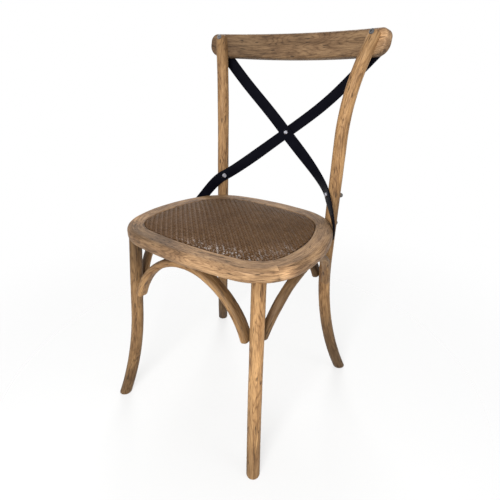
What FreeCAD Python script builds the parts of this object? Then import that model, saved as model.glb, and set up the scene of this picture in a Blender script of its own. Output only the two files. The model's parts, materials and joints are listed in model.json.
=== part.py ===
"""Cross back dining chair: bent round legs and hooped braces, a rim of four sawn rails
with a woven panel, a bowed crest rail and two crossed steel straps.

Millimetres and degrees. Z is up, the floor is Z = 0, the chair faces -Y and the origin
lies on the floor under the middle of the whole chair.
"""
import FreeCAD, Part
import math
import os
import Sketcher
from FreeCAD import Placement, Rotation, Vector

os.makedirs("parts", exist_ok=True)
doc = FreeCAD.newDocument("cross_back_chair")

# Driving dimensions
SIZES = [
    ("seat_height", 463, "floor to the top of the seat rim"),
    ("seat_half_width", 235.3, "middle of the seat to the widest point of the rim"),
    ("seat_front", 213.5, "origin forward to the front edge of the rim"),
    ("seat_back", 168.5, "origin back to the rear edge of the rim"),
    ("seat_widest", 52.5, "origin forward to the widest line of the rim"),
    ("front_edge_radius", 900, "plan radius of the front edge"),
    ("front_corner_radius", 115, "plan radius of the front corners"),
    ("side_edge_radius", 310, "plan radius of the side edges"),
    ("rear_corner_radius", 138, "plan radius of the rear corners"),
    ("rear_edge_radius", 560, "plan radius of the rear edge"),
    ("rail_thickness", 34, "height of the rim rails"),
    ("rail_width", 40, "rim's outer edge to the woven panel"),
    ("ledge_width", 11, "ledge under the edge of the seat board"),
    ("rebate_depth", 12, "top of the rim down to the ledge"),
    ("rail_top_round", 11, "rounding of the rim's upper outer edge"),
    ("rail_bottom_round", 15, "rounding of the rim's lower outer edge"),
    ("rail_inner_round", 2.5, "rounding of the rim's upper inner edge"),
    ("front_joint_bearing", -36, "front rail joint, turned from the side about the corner"),
    ("rear_joint_bearing", 68, "rear rail joint, turned from the side about the corner"),
    ("dowel_diameter", 8, "dowels in the rail joints"),
    ("dowel_length", 24, "length of a rail dowel"),
    ("dowel_outer_inset", 13, "rim's edge to the outer dowel of a joint"),
    ("dowel_inner_inset", 34, "rim's edge to the inner dowel of a joint"),
    ("board_thickness", 8, "plywood board under the weave"),
    ("panel_clearance", 0.5, "gap from the board and the weave to the rim"),
    ("weave_edge", 2.5, "thickness of the woven panel at its edge"),
    ("weave_crown", 11, "rise of the woven panel from its edge to its middle"),
    ("leg_diameter", 30, "front legs"),
    ("leg_bearing", -54.9, "front leg's place on the front corner"),
    ("leg_margin", 0.5, "front leg's surface inside the edge of the rim"),
    ("leg_lip", 5, "how far the leg's top is coped up round the rim's lower edge"),
    ("leg_lean_side", 1.84, "outward lean of the straight part of a front leg"),
    ("leg_lean_front", 5.52, "forward lean of the straight part of a front leg"),
    ("leg_bend_height", 238, "floor to the start of the front leg's bend"),
    ("leg_bend_radius", 832, "radius of the front leg's bend"),
    ("leg_bend_bearing", -53.4, "direction in which the front foot kicks out"),
    ("tenon_diameter", 18, "round tenon on a front leg"),
    ("tenon_length", 20, "tenon's reach above the underside of the rim"),
    ("post_diameter", 30, "rear legs, which run up as the back posts"),
    ("post_bearing", 54.5, "post's place on the rear corner"),
    ("post_let_in", 1, "depth by which the rim is let into the post"),
    ("post_lean_side", 0.53, "outward lean of the straight part of a post"),
    ("post_lean_back", 3.95, "backward lean of the straight part of a post"),
    ("post_low_bend_height", 354, "floor to the end of the lower bend"),
    ("post_low_bend_radius", 763, "radius of the lower bend"),
    ("post_low_bend_bearing", 52.5, "direction in which the rear foot kicks out"),
    ("post_high_bend_height", 641, "floor to the start of the upper bend"),
    ("post_high_bend_radius", 533, "radius of the upper bend"),
    ("post_high_bend_bearing", 44.7, "direction in which the post's top flares out"),
    ("post_top_rise", 22.5, "crest rail's middle up to the post's end on its centre line"),
    ("post_top_round", 5, "rounding of the post's end"),
    ("foot_round", 3, "rounding round the foot of a leg"),
    ("brace_thickness", 18, "hooped braces, in the plane of their arch"),
    ("brace_depth", 28, "front and rear hoops, across their arch"),
    ("side_brace_depth", 21, "side hoops, across their arch"),
    ("brace_edge_round", 7, "rounding of a hoop's long edges"),
    ("brace_spring_height", 300, "floor to the spring of the hoops"),
    ("brace_tail", 5, "a hoop's end below its spring"),
    ("brace_dip", 75, "middle of a hoop's ellipse below its spring"),
    ("front_brace_turn", 10, "front hoop's ends, turned about the legs to the front"),
    ("brace_inset", 31, "rim's edge to the top of the front and rear hoops"),
    ("side_brace_inset", 30, "rim's edge to the top of the side hoops"),
    ("side_brace_bearing", -60, "side of the post on which a side hoop ends"),
    ("brace_cope", 1, "depth by which a hoop's end is coped to the leg"),
    ("brace_flat", 0.6, "depth of the flat on a hoop's top, under the rim"),
    ("crest_overhang", 37.5, "post's centre line out to the crest rail's end"),
    ("crest_height", 57.7, "height of the crest rail's middle along its own face"),
    ("crest_arch_radius", 6000, "radius of the crest rail's arched top edge"),
    ("crest_thickness", 24, "thickness of the crest rail"),
    ("crest_mid_height", 837, "floor to the middle of the crest rail"),
    ("crest_bow_radius", 870, "radius of the crest rail's hollow front face"),
    ("crest_tilt", 15.5, "backward tilt of the crest rail"),
    ("crest_notch", 12.5, "depth by which the crest rail is let into the posts"),
    ("crest_top_round", 17, "rounding of the ends' upper corners"),
    ("crest_low_round", 26.5, "rounding of the ends' lower corners"),
    ("crest_edge_round", 6, "rounding of the crest rail's long edges"),
    ("strap_width", 28, "flat steel straps"),
    ("strap_thickness", 3, "flat steel straps"),
    ("strap_gap", 0.5, "clearance between a strap and the wood"),
    ("strap_post_height", 515, "floor to the bolt through strap and post"),
    ("strap_post_bearing", 221, "side of the post that the strap passes"),
    ("strap_foot_height", 448, "floor to the screw through strap and rim"),
    ("strap_foot_bearing", 27, "strap's place on the rear corner"),
    ("strap_head_inset", 28.2, "crest rail's end in to the strap's top screw"),
    ("strap_head_rise", 14, "crest rail's lower edge up to the strap's top screw"),
    ("strap_end", 11, "strap's end beyond its last screw"),
    ("strap_flat", 8, "straight run of a strap on each side of a bolt"),
    ("strap_head_flat", 12, "straight run of a strap below its top screw"),
    ("strap_head_slope", 44.5, "slope of a strap at its head, in the crest rail's back"),
    ("strap_post_turn", 14, "strap's course past the post, turned from its foot to the crossing"),
    ("strap_high_bend", 1.38, "how far a strap's bends spread above the crossing"),
    ("strap_low_bend", 0.76, "how far a strap's bends spread from the crossing to the post"),
    ("strap_foot_bend", 0.75, "how far a strap's bends spread below the post"),
    ("cross_bow", 22.5, "backward bow of the straps at their crossing"),
    ("cross_drop", 10.3, "crossing of the straps below the line of their ends"),
    ("cross_tilt", 21.2, "backward lean of the straps at their crossing"),
    ("cross_slope", 39.6, "slope of the straps at their crossing, in their plane"),
    ("hole_clearance", 0.15, "radial clearance of every hole"),
    ("hole_end", 1, "room beyond the end of a bolt or tenon in a blind hole"),
    ("bolt_diameter", 6, "bolts of the back"),
    ("bolt_head_diameter", 12, "round heads of these bolts"),
    ("bolt_head_height", 3.5, "round heads of these bolts"),
    ("bolt_socket", 4, "socket in the bolt's head"),
    ("bolt_flat", 1.3, "depth of the flats cut into the posts under heads and nuts"),
    ("nut_diameter", 11, "cap nuts on these bolts"),
    ("nut_height", 7, "cap nuts on these bolts"),
    ("crest_bolt_rise", 12, "crest bolt above the middle of the crest rail"),
    ("post_bolt_drop", 18, "post bolt below the top of the rim"),
    ("post_bolt_bite", 32, "post bolt's reach into the rim"),
    ("screw_diameter", 4, "wood screws"),
    ("screw_head_diameter", 8, "countersunk heads of the wood screws"),
    ("screw_head_height", 2.2, "countersunk heads of the wood screws"),
    ("brace_screw_bite", 10, "brace screw's reach into the leg"),
    ("brace_head_sink", 2.5, "brace screw's head below the hoop's inner face"),
    ("brace_top_bite", 14, "brace screw's reach into the rim"),
    ("board_screw_bite", 6, "board screw's reach into the board"),
    ("board_screw_share", 0.6, "board screw's bearing on a corner, as a share of the joint's"),
    ("strap_screw_bite", 15, "strap screw's reach into the wood"),
    ("strap_head_height", 1.8, "low round heads of the strap screws"),
    ("head_play", 0.1, "play under the heads of rivet and bolts on the straps"),
    ("rivet_diameter", 6, "rivet at the crossing"),
    ("rivet_head_diameter", 11, "rivet at the crossing"),
    ("rivet_head_height", 2.5, "rivet at the crossing"),
]
sheet = doc.addObject("Spreadsheet::Sheet", "sizes")
for row, (alias, number, note) in enumerate(SIZES, 1):
    sheet.set(f"A{row}", alias)
    sheet.set(f"B{row}", str(number))
    sheet.setAlias(f"B{row}", alias)
    sheet.set(f"C{row}", note)
doc.recompute()
RIGHT, LEFT = 1, -1
SIDES = (("right", RIGHT), ("left", LEFT))
UP = Vector(0, 0, 1)


def size(name):
    return float(getattr(sheet, name))


# Directions, placements and document objects
def bearing(angle):
    """Unit vector in plan, turned from +X towards +Y."""
    return Vector(math.cos(math.radians(angle)), math.sin(math.radians(angle)), 0)


def on_side(point, side):
    return Vector(point.x * side, point.y, point.z)


def square_to(direction, axis):
    """The part of a direction that is square to an axis, as a unit vector."""
    across = direction - axis * direction.dot(axis)
    return across.normalize()


def facing(point, direction):
    """Placement whose +Z runs along a direction."""
    return Placement(point, Rotation(UP, direction))


def frame_at(point, x_axis, z_axis):
    return Placement(point, Rotation(x_axis, Vector(), z_axis, "ZXY"))


def add_body(name):
    body = doc.addObject("PartDesign::Body", name)
    return body


def add_sketch(body, name, role="XY_Plane", offset=None):
    sketch = body.newObject("Sketcher::SketchObject", name)
    plane = next(item for item in body.Origin.OriginFeatures if item.Role == role)
    sketch.AttachmentSupport = [(plane, "")]
    sketch.MapMode = "FlatFace"
    if offset is not None:
        sketch.AttachmentOffset = offset
    return sketch


def add_circle(sketch, center, diameter_expression):
    """A circle whose place is locked and whose diameter is bound to the sheet."""
    index = sketch.addGeometry(Part.Circle(center, UP, 10), False)
    sketch.addConstraint(Sketcher.Constraint("DistanceX", -1, 1, index, 3, center.x))
    sketch.addConstraint(Sketcher.Constraint("DistanceY", -1, 1, index, 3, center.y))
    size_row = sketch.addConstraint(Sketcher.Constraint("Diameter", index, 20))
    sketch.renameConstraint(size_row, "across")
    sketch.setExpression("Constraints.across", diameter_expression)


def add_pad(body, sketch, name, length_expression, midplane=False):
    pad = body.newObject("PartDesign::Pad", name)
    pad.Profile = sketch
    pad.Midplane = midplane
    pad.setExpression("Length", length_expression)
    return pad


def add_pocket(body, sketch, name, length_expression, reverse=False):
    pocket = body.newObject("PartDesign::Pocket", name)
    pocket.Profile = sketch
    pocket.Reversed = reverse
    pocket.setExpression("Length", length_expression)
    return pocket


def add_pipe(body, profile, path, name):
    pipe = body.newObject("PartDesign::AdditivePipe", name)
    pipe.Profile = profile
    pipe.Spine = (path, [f"Edge{i + 1}" for i in range(len(path.Geometry))])
    return pipe


def add_fillet(body, base, edges, name, radius_expression):
    fillet = body.newObject("PartDesign::Fillet", name)
    fillet.Base = (base, edges)
    fillet.setExpression("Radius", radius_expression)
    return fillet


def edges_where(shape, test):
    return [f"Edge{i + 1}" for i, edge in enumerate(shape.Edges) if test(edge)]


def add_cut(name, base, tools):
    """A piece less its holes and the pieces that are let into it."""
    group = doc.addObject("Part::Compound", name + "_tools")
    group.Links = tools
    cut = doc.addObject("Part::Cut", name)
    cut.Base = base
    cut.Tool = group
    return cut


def add_shape(name, shape, placement=None):
    """A feature that holds a worked out shape."""
    feature = doc.addObject("Part::Feature", name)
    feature.Shape = shape
    if placement is not None:
        feature.Placement = placement
    return feature


# Plan of the seat: five tangent arcs on each side, from the front to the rear
def tangent_center(first, first_reach, second, second_reach, away):
    """Where a corner arc's centre lies, given its reach from two neighbours' centres."""
    span = second - first
    gap = span.Length
    along = (first_reach ** 2 - second_reach ** 2 + gap ** 2) / (2 * gap)
    across = math.sqrt(first_reach ** 2 - along ** 2)
    middle = first + span * (along / gap)
    normal = Vector(-span.y, span.x, 0) * (across / gap)
    return max((middle + normal, middle - normal), key=lambda point: point.dot(away))


front_center = Vector(0, size("front_edge_radius") - size("seat_front"), 0)
side_center = Vector(size("seat_half_width") - size("side_edge_radius"), -size("seat_widest"), 0)
rear_center = Vector(0, size("seat_back") - size("rear_edge_radius"), 0)
front_corner = tangent_center(
    front_center, size("front_edge_radius") - size("front_corner_radius"),
    side_center, size("side_edge_radius") - size("front_corner_radius"), Vector(1, -1, 0))
rear_corner = tangent_center(
    rear_center, size("rear_edge_radius") - size("rear_corner_radius"),
    side_center, size("side_edge_radius") - size("rear_corner_radius"), Vector(1, 1, 0))


def bearing_from(center, toward):
    return math.degrees(math.atan2(toward.y - center.y, toward.x - center.x))


turn_front = bearing_from(front_center, front_corner)
turn_side_front = bearing_from(side_center, front_corner)
turn_side_rear = bearing_from(side_center, rear_corner)
turn_rear = bearing_from(rear_center, rear_corner)


def mirrored(arcs):
    """The same arcs on the left side, in running order."""
    return [(on_side(center, LEFT), radius, 180 - stop, 180 - start)
            for center, radius, start, stop in reversed(arcs)]


def plan_arcs(start_bearing, stop_bearing):
    """Right side arcs between a bearing on the front corner and one on the rear corner."""
    return [
        (front_corner, size("front_corner_radius"), start_bearing, turn_side_front),
        (side_center, size("side_edge_radius"), turn_side_front, turn_side_rear),
        (rear_corner, size("rear_corner_radius"), turn_side_rear, stop_bearing),
    ]


front_joint = size("front_joint_bearing")
rear_joint = size("rear_joint_bearing")
RAIL_ARCS = {
    "seat_rail_right": plan_arcs(front_joint, rear_joint),
    "seat_rail_left": mirrored(plan_arcs(front_joint, rear_joint)),
}
front_half = [
    (front_center, size("front_edge_radius"), -90, turn_front),
    (front_corner, size("front_corner_radius"), turn_front, front_joint),
]
rear_half = [
    (rear_corner, size("rear_corner_radius"), rear_joint, turn_rear),
    (rear_center, size("rear_edge_radius"), turn_rear, 90),
]
RAIL_ARCS["seat_rail_front"] = mirrored(front_half) + front_half
RAIL_ARCS["seat_rail_rear"] = rear_half + mirrored(rear_half)
whole_half = ([front_half[0]] + plan_arcs(turn_front, turn_rear) + [rear_half[1]])
WHOLE_ARCS = whole_half + mirrored(whole_half)


def arc_point(arc, inset, angle):
    center, radius, _, _ = arc
    return center + bearing(angle) * (radius - inset)


def add_arcs(sketch, arcs, inset):
    for center, radius, start, stop in arcs:
        circle = Part.Circle(center, UP, radius - inset)
        sketch.addGeometry(Part.ArcOfCircle(circle, math.radians(start), math.radians(stop)), False)


def draw_rail(sketch, arcs, outer_inset, inner_inset):
    """Closed plan of one rail: outer arcs, joint, inner arcs, joint."""
    add_arcs(sketch, arcs, outer_inset)
    add_arcs(sketch, arcs, inner_inset)
    for arc, angle in ((arcs[0], arcs[0][2]), (arcs[-1], arcs[-1][3])):
        line = Part.LineSegment(arc_point(arc, outer_inset, angle), arc_point(arc, inner_inset, angle))
        sketch.addGeometry(line, False)


def on_corner(corner, radius_name, angle, inset, height):
    """A point by its bearing on a corner of the rim and its distance inside the edge."""
    return corner + bearing(angle) * (size(radius_name) - inset) + UP * height


underside = size("seat_height") - size("rail_thickness")
ledge_height = size("seat_height") - size("rebate_depth")
panel_inset = size("rail_width") + size("panel_clearance")
ledge_inset = size("rail_width") + size("ledge_width")


def make_rail(name):
    """One sawn rail of the rim, rebated for the seat board."""
    arcs = RAIL_ARCS[name]
    body = add_body(name + "_blank")
    plan = add_sketch(body, name + "_plan", offset=Placement(Vector(0, 0, underside), Rotation()))
    draw_rail(plan, arcs, 0, ledge_inset)
    blank = add_pad(body, plan, name + "_pad", "sizes.rail_thickness")
    doc.recompute()
    outer_radii = [arc[1] for arc in arcs]

    def outer_edge(height):
        def test(edge):
            level = all(abs(vertex.Z - height) < 1e-6 for vertex in edge.Vertexes)
            on_rim = isinstance(edge.Curve, Part.Circle) and any(
                abs(edge.Curve.Radius - radius) < 1e-6 for radius in outer_radii)
            return level and on_rim
        return test

    top_edges = edges_where(blank.Shape, outer_edge(size("seat_height")))
    top = add_fillet(body, blank, top_edges, name + "_top_round", "sizes.rail_top_round")
    doc.recompute()
    low_edges = edges_where(top.Shape, outer_edge(underside))
    low = add_fillet(body, top, low_edges, name + "_low_round", "sizes.rail_bottom_round")
    doc.recompute()
    rebate = add_sketch(body, name + "_rebate",
                        offset=Placement(Vector(0, 0, size("seat_height")), Rotation()))
    draw_rail(rebate, arcs, size("rail_width"), ledge_inset + size("ledge_width"))
    pocket = add_pocket(body, rebate, name + "_rebate_cut", "sizes.rebate_depth")
    doc.recompute()
    inner_radii = [arc[1] - size("rail_width") for arc in arcs]

    def inner_edge(edge):
        level = all(abs(vertex.Z - size("seat_height")) < 1e-6 for vertex in edge.Vertexes)
        return level and isinstance(edge.Curve, Part.Circle) and any(
            abs(edge.Curve.Radius - radius) < 1e-6 for radius in inner_radii)

    add_fillet(body, pocket, edges_where(pocket.Shape, inner_edge), name + "_inner_round",
               "sizes.rail_inner_round")
    return body


rail_blanks = {name: make_rail(name) for name in RAIL_ARCS}


# Legs and posts: a straight run with a bend below it and, on the posts, one above it
def lean_direction(side_angle, other_angle):
    return Vector(math.tan(math.radians(side_angle)), math.tan(math.radians(other_angle)), 1).normalize()


class Rod:
    """Centre line of a bent leg: its straight run starts at low and follows along."""

    def __init__(self, through, along, low_height, high_height, low_bend, high_bend=None):
        self.along = along
        self.low = through + along * ((low_height - through.z) / along.z)
        self.run = (high_height - low_height) / along.z
        self.high = self.low + along * self.run
        self.low_radius, low_angle = low_bend
        self.low_out = square_to(bearing(low_angle), along)
        self.high_bend = high_bend
        if high_bend:
            self.high_radius, high_angle = high_bend
            self.high_out = square_to(bearing(high_angle), along)

    def turn_to(self, height, start, radius, out, sense):
        """Angle of a bend at which its centre line reaches a height."""
        rise = radius * self.along.z * sense
        drift = radius * out.z
        return math.asin((height - start.z - drift) / math.hypot(rise, drift) * sense) \
            + math.atan2(drift, rise * sense) * sense

    def at(self, height):
        """The centre line's point at a height."""
        if height < self.low.z:
            return self.on_bend(height, self.low, self.low_radius, self.low_out, -1)
        if self.high_bend and height > self.high.z:
            return self.on_bend(height, self.high, self.high_radius, self.high_out, 1)
        return self.low + self.along * ((height - self.low.z) / self.along.z)

    def on_bend(self, height, start, radius, out, sense):
        turn = self.turn_to(height, start, radius, out, sense)
        return start + self.along * (sense * radius * math.sin(turn)) + out * (radius * (1 - math.cos(turn)))


leg_top = on_corner(front_corner, "front_corner_radius", size("leg_bearing"),
                    size("leg_diameter") / 2 + size("leg_margin"), underside)
leg_down = lean_direction(size("leg_lean_side"), -size("leg_lean_front"))
leg_rod = Rod(leg_top, Vector(-leg_down.x, -leg_down.y, leg_down.z), size("leg_bend_height"),
              underside + size("leg_lip"), (size("leg_bend_radius"), size("leg_bend_bearing")))
post_place = on_corner(rear_corner, "rear_corner_radius", size("post_bearing"),
                       size("post_let_in") - size("post_diameter") / 2,
                       size("seat_height") - size("post_bolt_drop"))
post_rod = Rod(post_place, lean_direction(size("post_lean_side"), size("post_lean_back")),
               size("post_low_bend_height"), size("post_high_bend_height"),
               (size("post_low_bend_radius"), size("post_low_bend_bearing")),
               (size("post_high_bend_radius"), size("post_high_bend_bearing")))
post_top = size("crest_mid_height") + size("post_top_rise")


def mirrored_frame(low, out, along, side):
    """Frame of a rod on either side: +Z along its straight run, +X where its foot kicks out."""
    return frame_at(on_side(low, side), on_side(out, side), on_side(along, side))


def cut_floor(body, foot, diameter_name):
    """The foot's end, cut level with the floor."""
    sketch = add_sketch(body, body.Name + "_floor", offset=body.Placement.inverse())
    add_circle(sketch, Vector(foot.x, foot.y, 0), f"4 * sizes.{diameter_name}")
    return add_pocket(body, sketch, body.Name + "_floor_cut", f"4 * sizes.{diameter_name}")


def floor_edges(body, shape):
    to_world = body.Placement
    return edges_where(shape, lambda edge: all(
        abs(to_world.multVec(vertex.Point).z) < 1e-4 for vertex in edge.Vertexes) and
        abs(to_world.multVec(edge.valueAt((edge.FirstParameter + edge.LastParameter) / 2)).z) < 1e-4)


def low_path(sketch, rod, top, overrun):
    """Straight run and lower bend, from the top down, in the plane of the bend."""
    turn = rod.turn_to(0, rod.low, rod.low_radius, rod.low_out, -1) + overrun / rod.low_radius
    sketch.addGeometry(Part.LineSegment(Vector(0, top, 0), Vector(0, 0, 0)), False)
    circle = Part.Circle(Vector(rod.low_radius, 0, 0), UP, rod.low_radius)
    sketch.addGeometry(Part.ArcOfCircle(circle, math.pi, math.pi + turn), False)


def make_front_leg(name, side):
    """Front leg with a round tenon on top."""
    body = add_body(name + "_blank")
    body.Placement = mirrored_frame(leg_rod.low, leg_rod.low_out, leg_rod.along, side)
    path = add_sketch(body, name + "_path", "XZ_Plane")
    overrun = size("leg_diameter")
    low_path(path, leg_rod, leg_rod.run + overrun, overrun)
    section = add_sketch(body, name + "_section",
                         offset=Placement(Vector(0, 0, leg_rod.run + overrun), Rotation()))
    add_circle(section, Vector(), "sizes.leg_diameter")
    add_pipe(body, section, path, name + "_pipe")
    doc.recompute()
    top = on_side(leg_rod.at(underside + size("leg_lip")), side)
    level = body.Placement.inverse() * Placement(Vector(0, 0, top.z), Rotation())
    trim = add_sketch(body, name + "_trim", offset=level)
    add_circle(trim, Vector(top.x, top.y, 0), "4 * sizes.leg_diameter")
    add_pocket(body, trim, name + "_trim_cut", "3 * sizes.leg_diameter", reverse=True)
    tenon = add_sketch(body, name + "_tenon", offset=level)
    add_circle(tenon, Vector(top.x, top.y, 0), "sizes.tenon_diameter")
    add_pad(body, tenon, name + "_tenon_pad", "sizes.tenon_length - sizes.leg_lip")
    floor = cut_floor(body, on_side(leg_rod.at(0), side), "leg_diameter")
    doc.recompute()
    add_fillet(body, floor, floor_edges(body, floor.Shape), name + "_foot_round", "sizes.foot_round")
    return body


def make_post(name, side):
    """Rear leg and back post in one bent piece."""
    body = add_body(name + "_blank")
    body.Placement = mirrored_frame(post_rod.low, post_rod.low_out, post_rod.along, side)
    path = add_sketch(body, name + "_path", "XZ_Plane")
    low_path(path, post_rod, post_rod.run, size("post_diameter"))
    level = Placement(Vector(0, 0, post_rod.run), Rotation())
    section = add_sketch(body, name + "_section", offset=level)
    add_circle(section, Vector(), "sizes.post_diameter")
    add_pipe(body, section, path, name + "_pipe")
    high_angle = side * math.degrees(post_rod.low_out.getAngle(post_rod.high_out))
    if post_rod.low_out.cross(post_rod.high_out).dot(post_rod.along) < 0:
        high_angle = -high_angle
    high_path = add_sketch(body, name + "_high_path", "XZ_Plane",
                           Placement(Vector(), Rotation(Vector(0, 1, 0), high_angle)))
    turn = post_rod.turn_to(post_top, post_rod.high, post_rod.high_radius, post_rod.high_out, 1)
    circle = Part.Circle(Vector(post_rod.high_radius, post_rod.run, 0), UP, post_rod.high_radius)
    high_path.addGeometry(Part.ArcOfCircle(circle, math.pi - turn, math.pi), False)
    high_section = add_sketch(body, name + "_high_section", offset=level)
    add_circle(high_section, Vector(), "sizes.post_diameter")
    high = add_pipe(body, high_section, high_path, name + "_high_pipe")
    doc.recompute()
    tip = body.Placement.inverse().multVec(on_side(post_rod.at(post_top), side))
    end_edges = edges_where(high.Shape, lambda edge: max(
        vertex.Point.distanceToPoint(tip) for vertex in edge.Vertexes) < size("post_diameter") * 0.51)
    top = add_fillet(body, high, end_edges, name + "_top_round", "sizes.post_top_round")
    doc.recompute()
    floor = cut_floor(body, on_side(post_rod.at(0), side), "post_diameter")
    doc.recompute()
    add_fillet(body, floor, floor_edges(body, floor.Shape), name + "_foot_round", "sizes.foot_round")
    return body


leg_blanks = {side: make_front_leg("front_leg_" + word, side) for word, side in SIDES}
post_blanks = {side: make_post("rear_leg_" + word, side) for word, side in SIDES}
doc.recompute()


# Hooped braces: half an ellipse and a little more, in a plane that leans to the rim
HOOP_POINTS = 13
brace_half = size("brace_thickness") / 2


class Hoop:
    """A hoop whose ends lie on given sides of two legs, with its top under the rim."""

    def __init__(self, first, first_side, second, second_side, top, depth_name="brace_depth"):
        self.depth = size(depth_name)
        reach = brace_half - size("brace_cope")
        start = first[0] + first_side * (first[1] / 2 + reach)
        stop = second[0] + second_side * (second[1] / 2 + reach)
        self.x_axis = (stop - start).normalize()
        self.base = (start + stop) / 2
        half_span = (stop - start).Length / 2
        lift = top - self.base
        self.z_axis = square_to(lift, self.x_axis)
        rise = lift.dot(self.z_axis)
        self.top = self.base + self.z_axis * rise
        self.ends = ((start, -first_side), (stop, -second_side))
        self.tall = rise + size("brace_dip")
        self.wide = half_span / math.sqrt(1 - (size("brace_dip") / self.tall) ** 2)
        self.low_turn = math.asin((size("brace_dip") - size("brace_tail")) / self.tall)

    def at(self, turn):
        """The centre line's point in the hoop's plane, by its turn about the ellipse."""
        return Vector(self.wide * math.cos(turn), self.tall * math.sin(turn) - size("brace_dip"), 0)

    def centre_line(self):
        span = math.pi - 2 * self.low_turn
        curve = Part.BSplineCurve()
        curve.interpolate([self.at(self.low_turn + span * i / (HOOP_POINTS - 1))
                           for i in range(HOOP_POINTS)])
        return curve

    def foot_frame(self):
        """Placement of the section at the start of the centre line."""
        start = self.at(self.low_turn)
        lean = math.atan2(-self.wide * math.sin(self.low_turn), self.tall * math.cos(self.low_turn))
        return Placement(Vector(start.x, 0, start.y), Rotation(Vector(0, 1, 0), math.degrees(lean)))


spring = size("brace_spring_height")
hoop_top_height = underside - brace_half + size("brace_flat")
leg_d = size("leg_diameter")
post_d = size("post_diameter")
leg_at_spring = leg_rod.at(spring)
post_at_spring = post_rod.at(spring)
leg_places = {side: (on_side(leg_at_spring, side), leg_d) for side in (RIGHT, LEFT)}
post_places = {side: (on_side(post_at_spring, side), post_d) for side in (RIGHT, LEFT)}
INWARD = {RIGHT: Vector(-1, 0, 0), LEFT: Vector(1, 0, 0)}
front_turn = bearing(size("front_brace_turn"))
INWARD_FRONT = {side: Vector(-side * front_turn.x, -front_turn.y, 0) for side in (RIGHT, LEFT)}


def side_hoop(side):
    middle = (leg_at_spring.y + post_at_spring.y) / 2
    reach = math.sqrt((size("side_edge_radius") - size("side_brace_inset")) ** 2
                      - (middle - side_center.y) ** 2)
    top = Vector(side_center.x + reach, middle, hoop_top_height)
    post_side = on_side(bearing(size("side_brace_bearing")), side)
    return Hoop(leg_places[side], Vector(0, 1, 0), post_places[side], post_side, on_side(top, side),
                "side_brace_depth")


HOOPS = {
    "front_brace": Hoop(leg_places[LEFT], INWARD_FRONT[LEFT], leg_places[RIGHT], INWARD_FRONT[RIGHT],
                        Vector(0, size("brace_inset") - size("seat_front"), hoop_top_height)),
    "rear_brace": Hoop(post_places[LEFT], INWARD[LEFT], post_places[RIGHT], INWARD[RIGHT],
                       Vector(0, size("seat_back") - size("brace_inset"), hoop_top_height)),
    "side_brace_right": side_hoop(RIGHT),
    "side_brace_left": side_hoop(LEFT),
}


def draw_round_box(sketch, width, depth, radius):
    """A rectangle about the sketch's origin with rounded corners."""
    x, y = width / 2 - radius, depth / 2 - radius
    corners = ((x, y, 0), (-x, y, 90), (-x, -y, 180), (x, -y, 270))
    for i, (cx, cy, start) in enumerate(corners):
        center = Vector(cx, cy, 0)
        circle = Part.Circle(center, UP, radius)
        sketch.addGeometry(Part.ArcOfCircle(circle, math.radians(start), math.radians(start + 90)), False)
        nx, ny, _ = corners[(i + 1) % 4]
        out = bearing(start + 90) * radius
        sketch.addGeometry(Part.LineSegment(center + out, Vector(nx, ny, 0) + out), False)


def make_hoop(name, hoop):
    body = add_body(name + "_blank")
    body.Placement = frame_at(hoop.base, hoop.x_axis, hoop.z_axis)
    path = add_sketch(body, name + "_path", "XZ_Plane")
    path.addGeometry(hoop.centre_line(), False)
    section = add_sketch(body, name + "_section", offset=hoop.foot_frame())
    draw_round_box(section, size("brace_thickness"), hoop.depth, size("brace_edge_round"))
    pipe = body.newObject("PartDesign::AdditivePipe", name + "_pipe")
    pipe.Profile = section
    pipe.Spine = (path, ["Edge1"])
    return body


hoop_blanks = {name: make_hoop(name, hoop) for name, hoop in HOOPS.items()}
doc.recompute()


# Crest rail: a bowed board, hollow in front, let into the backs of the posts
crest_y = Vector(0, math.cos(math.radians(size("crest_tilt"))), -math.sin(math.radians(size("crest_tilt"))))
crest_z = Vector(0, -crest_y.z, crest_y.y)
post_at_crest = post_rod.at(size("crest_mid_height"))
bow = size("crest_bow_radius")
crest_reach = bow - size("post_diameter") / 2 + size("crest_notch")
crest_depth = math.sqrt(crest_reach ** 2 - post_at_crest.x ** 2) - bow
crest_place = Vector(0, post_at_crest.y - crest_depth / crest_y.y, size("crest_mid_height"))
half_length = post_at_crest.x + size("crest_overhang")


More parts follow.
